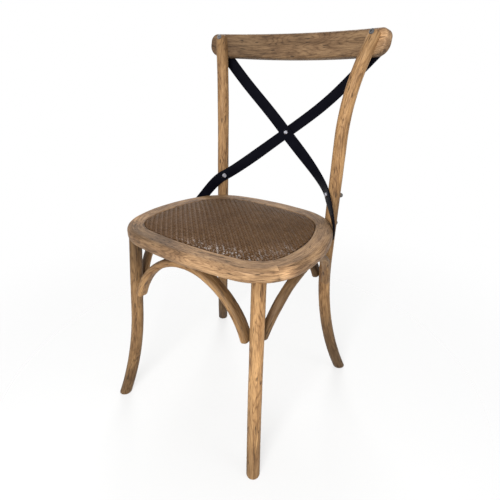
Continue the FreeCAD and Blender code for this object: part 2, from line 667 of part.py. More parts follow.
def make_crest():
    body = add_body("crest_rail_blank")
    body.Placement = frame_at(crest_place, Vector(1, 0, 0), crest_z)
    plan = add_sketch(body, "crest_rail_plan")
    half_turn = math.asin(half_length / (bow + size("crest_thickness") / 2))
    start, stop = math.pi / 2 - half_turn, math.pi / 2 + half_turn
    center = Vector(0, -bow, 0)
    back = bow + size("crest_thickness")
    for radius in (bow, back):
        plan.addGeometry(Part.ArcOfCircle(Part.Circle(center, UP, radius), start, stop), False)
    for angle in (start, stop):
        out = Vector(math.cos(angle), math.sin(angle), 0)
        plan.addGeometry(Part.LineSegment(center + out * bow, center + out * back), False)
    pad = add_pad(body, plan, "crest_rail_pad", "sizes.crest_height", midplane=True)
    doc.recompute()
    arch = add_sketch(body, "crest_rail_arch", "XZ_Plane")
    top, radius = size("crest_height") / 2, size("crest_arch_radius")
    wide = half_length + size("crest_thickness")
    swing = math.asin(wide / radius)
    low = top - radius * (1 - math.cos(swing))
    high = top + size("crest_thickness")
    circle = Part.Circle(Vector(0, top - radius, 0), UP, radius)
    arch.addGeometry(Part.ArcOfCircle(circle, math.pi / 2 - swing, math.pi / 2 + swing), False)
    corners = [Vector(-wide, low, 0), Vector(-wide, high, 0), Vector(wide, high, 0), Vector(wide, low, 0)]
    for start, stop in zip(corners, corners[1:]):
        arch.addGeometry(Part.LineSegment(start, stop), False)
    rounded = add_pocket(body, arch, "crest_rail_arch_cut", "4 * sizes.seat_half_width")
    rounded.Midplane = True
    doc.recompute()
    for word, sense in (("top", 1), ("low", -1)):
        ends = edges_where(rounded.Shape, lambda edge: edge.Length < 2 * size("crest_thickness")
                           and abs(edge.tangentAt(edge.FirstParameter).z) < 0.5
                           and edge.CenterOfMass.z * sense > 0)
        rounded = add_fillet(body, rounded, ends, f"crest_rail_{word}_ends", f"sizes.crest_{word}_round")
        doc.recompute()
    long_edges = edges_where(rounded.Shape, lambda edge: abs(edge.CenterOfMass.x) < 1
                             and edge.BoundBox.XLength > half_length)
    add_fillet(body, rounded, long_edges, "crest_rail_edges", "sizes.crest_edge_round")
    return body


crest_blank = make_crest()


# Seat board and woven panel
def make_board():
    body = add_body("seat_board_blank")
    plan = add_sketch(body, "seat_board_plan", offset=Placement(Vector(0, 0, ledge_height), Rotation()))
    add_arcs(plan, WHOLE_ARCS, panel_inset)
    add_pad(body, plan, "seat_board_pad", "sizes.board_thickness")
    return body


WEAVE_SHARES = (1, 0.94, 0.8, 0.55, 0.25)    # sizes of the panel's plans, from its edge to its top


def scaled(arcs, share, middle):
    return [(middle + (center - middle) * share, (radius - panel_inset) * share, start, stop)
            for center, radius, start, stop in arcs]


def make_weave():
    """Crowned panel: plans that shrink as they rise, joined smoothly."""
    body = add_body("woven_seat")
    middle = Vector(0, (size("seat_back") - size("seat_front")) / 2, 0)
    bottom = ledge_height + size("board_thickness")
    edge_top = bottom + size("weave_edge")
    crown = size("weave_crown")
    base = add_sketch(body, "weave_base", offset=Placement(Vector(0, 0, bottom), Rotation()))
    add_arcs(base, scaled(WHOLE_ARCS, 1, middle), 0)
    add_pad(body, base, "weave_rim", "sizes.weave_edge")
    steps = []
    for share in WEAVE_SHARES:
        height = edge_top + crown * (1 - share ** 3)
        step = add_sketch(body, f"weave_step_{len(steps)}",
                          offset=Placement(Vector(0, 0, height), Rotation()))
        add_arcs(step, scaled(WHOLE_ARCS, share, middle), 0)
        steps.append(step)
    loft = body.newObject("PartDesign::AdditiveLoft", "weave_crown_loft")
    loft.Profile = steps[0]
    loft.Sections = steps[1:]
    return body


board_blank = make_board()
weave_body = make_weave()
doc.recompute()


# Steel straps
STRAP_STEPS = 8
foot_out = bearing(size("strap_foot_bearing"))
off_wood = size("strap_thickness") / 2 + size("strap_gap")
post_at_strap = post_rod.at(size("strap_post_height"))
strap_side = square_to(bearing(size("strap_post_bearing")), post_rod.along)
strap_post = post_at_strap + strap_side * (post_d / 2 + off_wood)
strap_foot = on_corner(rear_corner, "rear_corner_radius", size("strap_foot_bearing"),
                       -off_wood, size("strap_foot_height"))
head_turn = math.asin((half_length - size("strap_head_inset")) / (bow + size("crest_thickness")))
head_local = Vector(math.sin(head_turn), math.cos(head_turn), 0)
head_height = size("strap_head_rise") - size("crest_height") / 2


def from_crest(point):
    return crest_place + Vector(point.x, 0, 0) + crest_y * point.y + crest_z * point.z


head_center = head_local * (bow + size("crest_thickness") + off_wood) - Vector(0, bow, 0)
strap_head = from_crest(head_center + UP * head_height)
head_out = (from_crest(head_local) - from_crest(Vector())).normalize()
chord = strap_head - strap_post
share_at_cross = strap_post.x / (strap_post.x + strap_head.x)
cross = Vector(0, (strap_post.y + strap_head.y) / 2 + size("cross_bow"),
               strap_post.z + chord.z * share_at_cross - size("cross_drop"))
cross_turn = math.radians(size("cross_tilt"))
cross_up = Vector(0, math.sin(cross_turn), math.cos(cross_turn))
cross_normal = Vector(0, -cross_up.z, cross_up.y)
head_run = Vector(math.cos(head_turn), 0, 0) - crest_y * math.sin(head_turn)


def descent(outward, up, slope_name):
    """Direction of a strap's run down from an outer end, in the plane of two vectors."""
    slope = math.radians(size(slope_name))
    return outward * -math.cos(slope) - up * math.sin(slope)


def strap_stations(side, layer):
    """Where a strap is held: point, direction, normal and the flat run before and after."""
    head = on_side(strap_head, -side)
    head_normal = on_side(head_out * -1, -side)
    head_along = descent(on_side(head_run, -side), crest_z, "strap_head_slope")
    middle = cross + cross_normal * (layer * (size("strap_thickness") + size("strap_gap")) / 2)
    cross_along = descent(Vector(-side, 0, 0), cross_up, "cross_slope")
    post = on_side(strap_post, side)
    foot = on_side(strap_foot, side)
    post_normal = on_side(strap_side, side)
    turned_back = Rotation(post_normal, side * size("strap_post_turn"))
    post_along = turned_back.multVec(square_to(foot - middle, post_normal))
    foot_normal = on_side(foot_out * -1, side)
    flat, end = size("strap_flat"), size("strap_end")
    return [
        (head, head_along, head_normal, end, size("strap_head_flat")),
        (middle, cross_along, cross_normal, flat, flat),
        (post, post_along, post_normal, flat, flat),
        (foot, square_to(foot - post, foot_normal), foot_normal, flat, end),
    ]


def strap_sections(side, layer):
    """Frames along a strap that runs from its head on one side to its foot on the other."""
    stations = strap_stations(side, layer)
    bends = (size("strap_high_bend"), size("strap_low_bend"), size("strap_foot_bend"), None)
    frames = []
    for first, second, bend in zip(stations, stations[1:] + [None], bends):
        point, along, normal, before, after = first
        start = point + along * after
        frames.append((point - along * before, along, normal))
        frames.append((start, along, normal))
        if second is None:
            break
        stop = second[0] - second[1] * second[3]
        pull = (stop - start).Length * bend
        for step in range(1, STRAP_STEPS):
            share = step / STRAP_STEPS
            rest = 1 - share
            ease = share * share * (3 - 2 * share)
            place = (start * (1 - ease) + stop * ease + along * (pull * share * rest * rest)
                     - second[1] * (pull * share * share * rest))
            heading = ((stop - start) * (6 * share * rest) + along * (pull * rest * (rest - 2 * share))
                       + second[1] * (pull * share * (share - 2 * rest)))
            frames.append((place, heading.normalize(), normal * (1 - ease) + second[2] * ease))
    return frames


def strap_shape(frames):
    """A flat bar lofted through rectangles that turn with the strap."""
    half_width, half_thickness = size("strap_width") / 2, size("strap_thickness") / 2
    wires = []
    for point, tangent, normal in frames:
        face = square_to(normal, tangent)
        across = tangent.cross(face)
        corners = [point + across * (half_width * i) + face * (half_thickness * j)
                   for i, j in ((-1, -1), (1, -1), (1, 1), (-1, 1))]
        wires.append(Part.makePolygon(corners + corners[:1]))
    return Part.makeLoft(wires, True, False)


STRAPS = {}
for word, side in SIDES:
    frames = strap_sections(side, side)
    STRAPS[side] = (add_shape(f"cross_strap_{word}_blank", strap_shape(frames)), frames)


# Fasteners: turned profiles and the holes that take them
HEAD_FLAT = 0.75    # radius of a bolt head's flat top, as a share of the head's
HEAD_SHOULDER = 0.5    # where a bolt head's bevel starts, as a share of its height
SOCKET_FLOOR = 0.4    # where a socket ends, as a share of the head's height
DOME_FLAT = 0.6    # radius of a low head's or nut's flat top, as a share of its own
NUT_SHOULDER = 0.55    # where a cap nut's dome starts, as a share of its height
NUT_FLOOR = 0.6    # where a cap nut's bore ends, as a share of its height


def turned(name, profile):
    """A body turned about Z from a half profile of radius and height."""
    body = add_body(name)
    sketch = add_sketch(body, name + "_profile", "XZ_Plane")
    points = [Vector(radius, height, 0) for radius, height in profile]
    for start, stop in zip(points, points[1:] + points[:1]):
        sketch.addGeometry(Part.LineSegment(start, stop), False)
    spin = body.newObject("PartDesign::Revolution", name + "_spin")
    spin.Profile = sketch
    spin.ReferenceAxis = (sketch, ["V_Axis"])
    spin.Angle = 360
    return body


def bolt_profile(length, slack=0):
    """Round head with a socket below Z = 0, shank above it."""
    radius = size("bolt_diameter") / 2 + slack
    head = size("bolt_head_diameter") / 2
    deep = size("bolt_head_height")
    socket = size("bolt_socket") / 2
    return [(socket, -deep), (head * HEAD_FLAT, -deep), (head, -deep * HEAD_SHOULDER), (head, 0),
            (radius, 0), (radius, length), (0, length), (0, -deep * SOCKET_FLOOR),
            (socket, -deep * SOCKET_FLOOR)]


def nut_profile():
    """Cap nut over the end of a bolt, its seat at Z = 0."""
    bore = size("bolt_diameter") / 2 + size("hole_clearance")
    outer = size("nut_diameter") / 2
    height = size("nut_height")
    deep = height * NUT_FLOOR
    return [(bore, 0), (outer, 0), (outer, height * NUT_SHOULDER), (outer * DOME_FLAT, height), (0, height),
            (0, deep), (bore, deep)]


def screw_profile(length, slack=0):
    """Countersunk head from Z = 0, shank above it, point at the end."""
    shank = size("screw_diameter") / 2 + slack
    head = size("screw_head_diameter") / 2 + slack
    deep = size("screw_head_height")
    return [(0, 0), (head, 0), (shank, deep), (shank, length - shank), (0, length)]


def round_head_profile(length):
    """Low round head below Z = 0, shank and point above it."""
    shank = size("screw_diameter") / 2
    head = size("screw_head_diameter") / 2
    deep = size("strap_head_height")
    return [(0, -deep), (head * DOME_FLAT, -deep), (head, 0), (shank, 0), (shank, length - shank),
            (0, length)]


def rivet_profile():
    grip = size("strap_thickness") * 2 + size("strap_gap") + size("head_play") * 2
    shank = size("rivet_diameter") / 2
    head = size("rivet_head_diameter") / 2
    deep = size("rivet_head_height")
    return [(0, -deep), (head * DOME_FLAT, -deep), (head, 0), (shank, 0), (shank, grip), (head, grip),
            (head * DOME_FLAT, grip + deep), (0, grip + deep)]


def group_of(name, body, placements):
    """Identical fasteners as separate solids of one node."""
    doc.recompute()
    copies = []
    for placement in placements:
        copy = body.Shape.copy()
        copy.Placement = placement * copy.Placement
        copies.append(copy)
    return add_shape(name, Part.makeCompound(copies))


def hole_at(name, placement, diameter, length, start=0):
    """A drill's path, from start to length along a placement's +Z."""
    tool = doc.addObject("Part::Cylinder", name)
    tool.Radius = diameter / 2 + size("hole_clearance")
    tool.Height = length - start
    tool.Placement = placement * Placement(Vector(0, 0, start), Rotation())
    return tool


def both_sides(placement_of):
    return [placement_of(side) for _, side in SIDES]


slack = size("hole_clearance")
bolt_d = size("bolt_diameter")
screw_d = size("screw_diameter")

# Crest bolts, from the post's front through the crest rail
bolt_height = (size("crest_mid_height") + size("crest_bolt_rise") * crest_z.z
               - crest_depth * -crest_y.z)
post_at_bolt = post_rod.at(bolt_height)
bolt_out = Vector(post_at_bolt.x, crest_y.dot(post_at_bolt - crest_place) + bow, 0).normalize()
bolt_dir = Vector(bolt_out.x, 0, 0) + crest_y * bolt_out.y
crest_local = Vector(post_at_bolt.x, crest_y.dot(post_at_bolt - crest_place) + bow, 0).Length
to_crest_back = bow + size("crest_thickness") - crest_local
bolt_seat = post_d / 2 - size("bolt_flat")
crest_bolt_grip = bolt_seat + to_crest_back


def crest_bolt_frame(side):
    seat = on_side(post_at_bolt - bolt_dir * bolt_seat, side)
    return facing(seat, on_side(bolt_dir, side))


nut_bite = size("nut_height") / 2
crest_bolt = turned("crest_bolt_model", bolt_profile(crest_bolt_grip + nut_bite))
nut = turned("nut_model", nut_profile())
crest_bolt_frames = both_sides(crest_bolt_frame)
crest_nut_frames = [frame * Placement(Vector(0, 0, crest_bolt_grip), Rotation())
                    for frame in crest_bolt_frames]

# Strap bolts, through strap and post
strap_bolt_grip = size("strap_thickness") + size("strap_gap") + size("head_play") + post_d / 2 + bolt_seat


def strap_bolt_frame(side):
    seat = on_side(strap_post + strap_side * (size("strap_thickness") / 2 + size("head_play")), side)
    return facing(seat, on_side(strap_side, side) * -1)


strap_bolt = turned("strap_bolt_model", bolt_profile(strap_bolt_grip + nut_bite))
strap_bolt_frames = both_sides(strap_bolt_frame)
strap_nut_frames = [frame * Placement(Vector(0, 0, strap_bolt_grip), Rotation())
                    for frame in strap_bolt_frames]

# Post bolts, from the post's back into the rim
post_out = bearing(size("post_bearing"))
post_bolt_length = bolt_seat + post_d / 2 - size("post_let_in") + size("post_bolt_bite")


def post_bolt_frame(side):
    seat = on_side(post_place + post_out * bolt_seat, side)
    return facing(seat, on_side(post_out, side) * -1)


post_bolt = turned("post_bolt_model", bolt_profile(post_bolt_length))
post_bolt_frames = both_sides(post_bolt_frame)

# Strap screws: at the head into the crest rail, at the foot into the rim
strap_screw_length = size("strap_thickness") + size("strap_gap") + size("strap_screw_bite")


def strap_head_frame(side):
    seat = on_side(strap_head + head_out * (size("strap_thickness") / 2), side)
    return facing(seat, on_side(head_out, side) * -1)


def strap_foot_frame(side):
    seat = on_side(strap_foot + foot_out * (size("strap_thickness") / 2), side)
    return facing(seat, on_side(foot_out, side) * -1)


strap_screw = turned("strap_screw_model", round_head_profile(strap_screw_length))
strap_head_frames = both_sides(strap_head_frame)
strap_foot_frames = both_sides(strap_foot_frame)

# Brace screws: through each end into the leg, and up through each top into the rim
end_screw_length = size("brace_thickness") - size("brace_cope") + size("brace_screw_bite")
top_screw_length = size("brace_thickness") - size("brace_flat") + size("brace_top_bite")
end_screw = turned("end_screw_model", screw_profile(end_screw_length))
top_screw = turned("top_screw_model", screw_profile(top_screw_length))
head_depth = brace_half - size("brace_head_sink")
end_screw_frames = {name: [facing(point - out * head_depth, out) for point, out in hoop.ends]
                    for name, hoop in HOOPS.items()}
top_screw_frames = {name: facing(hoop.top - UP * head_depth, UP) for name, hoop in HOOPS.items()}

# Board screws, up through the ledge
board_screw_length = size("rail_thickness") - size("rebate_depth") + size("board_screw_bite")
board_screw = turned("board_screw_model", screw_profile(board_screw_length))
screw_inset = size("rail_width") + size("ledge_width") / 2
board_screw_points = {}
for word, side in SIDES:
    board_screw_points[side] = [
        on_side(on_corner(front_corner, "front_corner_radius", size("board_screw_share") * front_joint,
                          screw_inset, underside), side),
        on_side(on_corner(rear_corner, "rear_corner_radius", size("board_screw_share") * rear_joint,
                          screw_inset, underside), side),
    ]

# Rail dowels, two across each joint
dowel_height = (underside + ledge_height) / 2
DOWEL_INSETS = (size("dowel_outer_inset"), size("dowel_inner_inset"))
dowel_frames = {"front": [], "rear": []}
for word, side in SIDES:
    for key, corner, radius_name, angle in (
            ("front", front_corner, "front_corner_radius", front_joint),
            ("rear", rear_corner, "rear_corner_radius", rear_joint)):
        for inset in DOWEL_INSETS:
            point = on_side(on_corner(corner, radius_name, angle, inset, dowel_height), side)
            along = on_side(bearing(angle + 90), side)
            dowel_frames[key].append(facing(point - along * (size("dowel_length") / 2), along))
dowel_model = doc.addObject("Part::Cylinder", "dowel_model")
dowel_model.setExpression("Radius", "sizes.dowel_diameter / 2")
dowel_model.setExpression("Height", "sizes.dowel_length")

# The rivet, through both straps at their crossing
rivet_model = turned("rivet_model", rivet_profile())
rivet_seat = size("strap_thickness") + size("strap_gap") / 2 + size("head_play")
rivet_frame = facing(cross + cross_normal * rivet_seat, cross_normal * -1)
doc.recompute()

NODES = []


def finish(obj, name):
    obj.Label = name
    NODES.append(obj)
    return obj


# Rails with their holes
def sinks(name, frames, length):
    """Countersunk holes for wood screws, as one group of turned tools."""
    model = turned(name + "_model", screw_profile(length + slack, slack))
    return group_of(name, model, frames)


def flats(name, frames, diameter, toward):
    """Flats for bolt heads, or for nuts, which lie the other way along their frames."""
    deep = size("bolt_head_diameter")
    low, high = (-deep, 0) if toward < 0 else (0, deep)
    return [hole_at(f"{name}_{i}", frame, diameter, high, low) for i, frame in enumerate(frames)]


def drills(name, frames, diameter, length):
    return [hole_at(f"{name}_{i}", frame, diameter, length) for i, frame in enumerate(frames)]


tenon_frames = both_sides(lambda side: Placement(on_side(leg_rod.at(underside + size("leg_lip")), side)
                                                 - UP * size("leg_lip"), Rotation()))
rail_tools = {
    "seat_rail_front": (
        drills("tenon_hole", tenon_frames, size("tenon_diameter"), size("tenon_length") + size("hole_end"))
        + [sinks("front_top_screw_hole", [top_screw_frames["front_brace"]], top_screw_length)]),
    "seat_rail_rear": [sinks("rear_top_screw_hole", [top_screw_frames["rear_brace"]], top_screw_length)],
}
for word, side in SIDES:
    i = 0 if side == RIGHT else 1
    board_frames = [Placement(point, Rotation()) for point in board_screw_points[side]]
    rail_tools["seat_rail_" + word] = (
        drills(f"post_bolt_rail_hole_{word}", [post_bolt_frames[i]], bolt_d,
               post_bolt_length + size("hole_end"))
        + drills(f"strap_rail_hole_{word}", [strap_foot_frames[i]], screw_d, strap_screw_length)
        + [sinks(f"side_top_hole_{word}", [top_screw_frames["side_brace_" + word]], top_screw_length),
           sinks(f"board_hole_{word}", board_frames, board_screw_length)])
rails = {}
for name in RAIL_ARCS:
    word = name.split("_")[-1]
    keys = ("front",) if word == "front" else ("rear",) if word == "rear" else ("front", "rear")
    tools = list(rail_tools[name])
    for key in keys:
        tools += drills(f"{name}_{key}_dowel_hole", dowel_frames[key], size("dowel_diameter"),
                        size("dowel_length"))
    rails[name] = finish(add_cut(name, rail_blanks[name], tools), name)
doc.recompute()

# Legs and posts, coped to what they meet
ALL_ENDS = [frame for frames in end_screw_frames.values() for frame in frames]
end_holes = drills("end_screw_hole", ALL_ENDS, screw_d, end_screw_length)
for i, (word, side) in enumerate(SIDES):
    leg = add_cut("front_leg_" + word, leg_blanks[side], [rails["seat_rail_front"]] + end_holes)
    finish(leg, "front_leg_" + word)
    post_tools = [crest_blank, rails["seat_rail_" + word]] + end_holes
    post_tools += drills(f"crest_bolt_hole_{word}", [crest_bolt_frames[i]], bolt_d, crest_bolt_grip)
    post_tools += drills(f"strap_bolt_hole_{word}", [strap_bolt_frames[i]], bolt_d, strap_bolt_grip)
    post_tools += drills(f"post_bolt_hole_{word}", [post_bolt_frames[i]], bolt_d, post_bolt_length)
    head_frames = [crest_bolt_frames[i], post_bolt_frames[i]]
    post_tools += flats(f"head_flat_{word}", head_frames, size("bolt_head_diameter"), -1)
    post_tools += flats(f"nut_flat_{word}", [strap_nut_frames[i]], size("nut_diameter"), 1)
    finish(add_cut("rear_leg_" + word, post_blanks[side], post_tools), "rear_leg_" + word)

# Braces, coped to the legs and flatted under the rim
rim_space = doc.addObject("Part::Box", "rim_space")
rim_space.setExpression("Length", "4 * sizes.seat_half_width")
rim_space.setExpression("Width", "4 * sizes.seat_half_width")
rim_space.setExpression("Height", "sizes.rail_thickness")
rim_space.Placement = Placement(Vector(-2, -2, 0) * size("seat_half_width") + UP * underside, Rotation())
HOOP_NEIGHBOURS = {
    "front_brace": [leg_blanks[RIGHT], leg_blanks[LEFT]],
    "rear_brace": [post_blanks[RIGHT], post_blanks[LEFT]],
    "side_brace_right": [leg_blanks[RIGHT], post_blanks[RIGHT]],
    "side_brace_left": [leg_blanks[LEFT], post_blanks[LEFT]],
}
for name in HOOPS:
    tools = HOOP_NEIGHBOURS[name] + [
        rim_space,
        sinks(name + "_end_holes", end_screw_frames[name], end_screw_length),
        sinks(name + "_top_hole", [top_screw_frames[name]], top_screw_length),
    ]
    access_start = -size("brace_thickness")
    tools += [hole_at(f"{name}_end_access_{i}", frame, size("screw_head_diameter"), 0, access_start)
              for i, frame in enumerate(end_screw_frames[name])]
    tools.append(hole_at(name + "_top_access", top_screw_frames[name], size("screw_head_diameter"),
                         0, access_start))
    finish(add_cut(name, hoop_blanks[name], tools), name)

# Crest rail, board and weave
crest_tools = drills("crest_bolt_crest_hole", crest_bolt_frames, bolt_d, crest_bolt_grip)
crest_tools += drills("strap_head_hole", strap_head_frames, screw_d, strap_screw_length)
finish(add_cut("crest_rail", crest_blank, crest_tools), "crest_rail")
all_board_frames = [Placement(point, Rotation()) for side in (RIGHT, LEFT)
                    for point in board_screw_points[side]]
board_tools = drills("board_screw_hole", all_board_frames, screw_d, board_screw_length)
finish(add_cut("seat_board", board_blank, board_tools), "seat_board")
finish(weave_body, "woven_seat")

# Straps with their holes
drill_start = -size("strap_thickness")
drill_stop = 3 * size("strap_thickness")
for i, (word, side) in enumerate(SIDES):
    blank, _ = STRAPS[side]
    far = 1 - i
    tools = [
        hole_at(f"strap_hole_post_{word}", strap_bolt_frames[i], bolt_d, drill_stop, drill_start),
        hole_at(f"strap_hole_foot_{word}", strap_foot_frames[i], screw_d, drill_stop, drill_start),
        hole_at(f"strap_hole_head_{word}", strap_head_frames[far], screw_d, drill_stop, drill_start),
        hole_at(f"strap_hole_cross_{word}", rivet_frame, size("rivet_diameter"), drill_stop, drill_start),
    ]
    finish(add_cut(f"cross_strap_{word}", blank, tools), f"cross_strap_{word}")

# Fastener groups
finish(group_of("crest_bolts", crest_bolt, crest_bolt_frames), "crest_bolts")
finish(group_of("crest_nuts", nut, crest_nut_frames), "crest_nuts")
finish(group_of("strap_bolts", strap_bolt, strap_bolt_frames), "strap_bolts")
finish(group_of("strap_nuts", nut, strap_nut_frames), "strap_nuts")
finish(group_of("post_bolts", post_bolt, post_bolt_frames), "post_bolts")
finish(group_of("strap_head_screws", strap_screw, strap_head_frames), "strap_head_screws")
finish(group_of("strap_foot_screws", strap_screw, strap_foot_frames), "strap_foot_screws")
finish(group_of("brace_end_screws", end_screw, ALL_ENDS), "brace_end_screws")
finish(group_of("brace_top_screws", top_screw, list(top_screw_frames.values())), "brace_top_screws")
finish(group_of("board_screws", board_screw, all_board_frames), "board_screws")
all_dowels = dowel_frames["front"] + dowel_frames["rear"]
finish(group_of("rail_dowels", dowel_model, all_dowels), "rail_dowels")
finish(group_of("strap_rivet", rivet_model, [rivet_frame]), "strap_rivet")
doc.recompute()

# Every object has to be sound before anything is written
for obj in doc.Objects:
    if "Invalid" in obj.State or "Error" in obj.State:
        raise RuntimeError(f"{obj.Name} failed: {obj.State}")
whole = FreeCAD.BoundBox()
for obj in NODES:
    if obj.Shape.isNull() or not obj.Shape.isValid():
        raise RuntimeError(f"{obj.Label} has no valid shape")
    whole.add(obj.Shape.optimalBoundingBox())
for obj in NODES:
    obj.Shape.exportStep(f"parts/{obj.Label}.step")
    solids = obj.Shape.Solids
    print(f"{obj.Label}: {len(solids)} solids, {sum(solid.Volume for solid in solids) / 1000:.1f} cm3")
print(f"{len(NODES)} nodes, {whole.XLength:.1f} x {whole.YLength:.1f} x {whole.ZLength:.1f} mm, "
      f"centre {whole.Center.x:.2f}, {whole.Center.y:.2f}, floor {whole.ZMin:.3f}")
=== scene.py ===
# %% [markdown]
# # Cross back dining chair
# A wooden chair with hooped braces, a woven seat and two black steel straps that cross in
# its back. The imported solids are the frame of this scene. They are loaded first, because
# every piece below takes a solid's place or dresses it. The chair stands on Z = 0 and
# faces -Y.

# %% The frame
import json
import math

import bpy
import numpy as np
from mathutils import Matrix, Vector


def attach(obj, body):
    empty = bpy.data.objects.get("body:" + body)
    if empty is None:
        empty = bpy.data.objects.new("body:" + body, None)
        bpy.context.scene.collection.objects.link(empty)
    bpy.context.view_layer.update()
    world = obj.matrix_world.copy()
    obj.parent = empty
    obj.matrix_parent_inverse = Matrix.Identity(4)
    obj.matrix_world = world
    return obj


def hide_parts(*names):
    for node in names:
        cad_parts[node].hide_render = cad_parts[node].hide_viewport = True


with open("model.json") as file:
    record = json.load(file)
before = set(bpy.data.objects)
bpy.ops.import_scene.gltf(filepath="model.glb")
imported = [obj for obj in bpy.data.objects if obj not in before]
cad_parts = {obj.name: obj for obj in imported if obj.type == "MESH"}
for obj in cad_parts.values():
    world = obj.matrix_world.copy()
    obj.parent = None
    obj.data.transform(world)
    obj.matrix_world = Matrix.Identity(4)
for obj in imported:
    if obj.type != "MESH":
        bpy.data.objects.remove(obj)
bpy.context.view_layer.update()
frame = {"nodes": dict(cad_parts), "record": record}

nodes = frame["nodes"]
print("frame:", len(nodes), "nodes")

# %% [markdown]
# ## Camera
# The photograph was taken from the front right, a little above the back's top. A camera is
# known by where it stands, where it looks, its roll and its focal length. These were fitted
# to the feet, the rim and the crest rail, and are written here as real places.

# %% Camera
AZIMUTH, ELEVATION, ROLL = math.radians(35.578), math.radians(25.305), -0.00445
DISTANCE, LENS = 1.04478, 29.44
LOOK_AT = Vector((0, 0.04347, 0.36659))


def direction(azimuth, elevation):
    """Unit vector from the chair towards a place at an azimuth (0 is in front) and an elevation."""
    flat = math.cos(elevation)
    return Vector((math.sin(azimuth) * flat, -math.cos(azimuth) * flat, math.sin(elevation)))


def add_camera():
    """The photograph's camera: aimed from its place at LOOK_AT, then rolled about its own axis."""
    camera = bpy.data.objects.new("camera", bpy.data.cameras.new("camera"))
    bpy.context.scene.collection.objects.link(camera)
    back = direction(AZIMUTH, ELEVATION)
    camera.data.lens = LENS
    camera.data.sensor_width = 36
    camera.rotation_mode = "QUATERNION"
    turn = (-back).to_track_quat("-Z", "Y")
    roll = Matrix.Rotation(ROLL, 4, back).to_quaternion()
    camera.rotation_quaternion = roll @ turn
    camera.location = LOOK_AT + back * DISTANCE
    bpy.context.scene.camera = camera
    return camera


print("camera at", [round(c, 3) for c in add_camera().location])

# %% [markdown]
# ## Nodes in few words
# Every finish below is a small tree of nodes. `fill` gives a node's inputs numbers or the
# outputs of other nodes, and `step` adds a node and fills it, so that a finish reads from top
# to bottom like a recipe. `calc`, `ramp` and `blend` are the three steps that come back most.


# %% Nodes in few words
def fill(tree, node, inputs):
    """Sets a node's inputs to values, or links them to sockets of earlier nodes."""
    for key, value in inputs.items():
        if isinstance(value, bpy.types.NodeSocket):
            tree.links.new(value, node.inputs[key])
        else:
            node.inputs[key].default_value = value


def step(tree, kind, inputs=None, **settings):
    """One new node, with its settings and its inputs."""
    node = tree.nodes.new("ShaderNode" + kind)
    for key, value in settings.items():
        setattr(node, key, value)
    fill(tree, node, inputs or {})
    return node


def calc(tree, operation, first, second=0.0, third=0.0, clamp=False):
    """The output of one Math node."""
    inputs = {0: first, 1: second, 2: third}
    return step(tree, "Math", inputs, operation=operation, use_clamp=clamp).outputs[0]


def ramp(tree, factor, *stops):
    """A Color Ramp through (position, color) stops."""
    node = step(tree, "ValToRGB", {"Fac": factor})
    elements = node.color_ramp.elements
    while len(elements) < len(stops):
        elements.new(0.5)
    for element, (position, color) in zip(elements, stops):
        element.position = position
        element.color = (*color, 1)
    return node.outputs["Color"]


def blend(tree, factor, first, second, mode="MIX"):
    """Two colors mixed by a factor."""
    inputs = {0: factor, 6: first, 7: second}
    return step(tree, "Mix", inputs, data_type="RGBA", blend_type=mode).outputs[2]


def stretched_noise(tree, place, stretch, detail=3.0, roughness=0.5):
    """Noise on a place whose three axes are multiplied by stretch, per metre."""
    spread = step(tree, "Mapping", {"Vector": place, "Scale": stretch})
    inputs = {"Vector": spread.outputs[0], "Scale": 1.0, "Detail": detail, "Roughness": roughness}
    return step(tree, "TexNoise", inputs).outputs[0]


def bumped(tree, height, strength, distance):
    """Normals of a surface raised by a height, with the bump's strength and depth in metres."""
    inputs = {"Height": height, "Strength": strength, "Distance": distance}
    return step(tree, "Bump", inputs).outputs[0]


def new_material(name):
    """A material with an empty node tree and a Principled shader on its output."""
    material = bpy.data.materials.new(name)
    material.use_nodes = True
    tree = material.node_tree
    tree.nodes.clear()
    shader = step(tree, "BsdfPrincipled")
    output = step(tree, "OutputMaterial", {"Surface": shader.outputs["BSDF"]})
    return material, tree, shader, output


print("nodes can be filled")

# %% [markdown]
# ## Floor and light
# The photograph has a plain white ground. The world is white to the camera and to glossy
# and transmitted rays, and a soft grey to everything else, so it lights the chair without
# washing it out. The floor is a pale disc, two thirds of it see-through, so that it keeps a
# faint shadow on a ground that stays white, and it fades out towards its rim. The lamps are
# large and plain: one in front, a weak one at the right, and one behind that draws the edges.


# %% World
def set_world(sky_strength):
    """White where it is seen, mirrored or seen through, and sky_strength where it lights."""
    world = bpy.data.worlds.new("studio")
    bpy.context.scene.world = world
    world.use_nodes = True
    tree = world.node_tree
    tree.nodes.clear()
    path = step(tree, "LightPath").outputs
    seen = calc(tree, "MAXIMUM", path["Is Camera Ray"], path["Is Glossy Ray"])
    seen = calc(tree, "MAXIMUM", seen, path["Is Transmission Ray"])
    light = step(tree, "Background", {"Color": (1, 1, 1, 1), "Strength": sky_strength})
    ground = step(tree, "Background", {"Color": (1, 1, 1, 1), "Strength": 1.0})
    mix = step(tree, "MixShader", {0: seen, 1: light.outputs[0], 2: ground.outputs[0]})
    step(tree, "OutputWorld", {"Surface": mix.outputs[0]})


bpy.context.scene.view_settings.view_transform = "Standard"
set_world(0.42)
print("world is set")


# %% Floor
FLOOR_SIDES, FLOOR_PALE, FLOOR_VEIL = 64, 0.95, 0.66


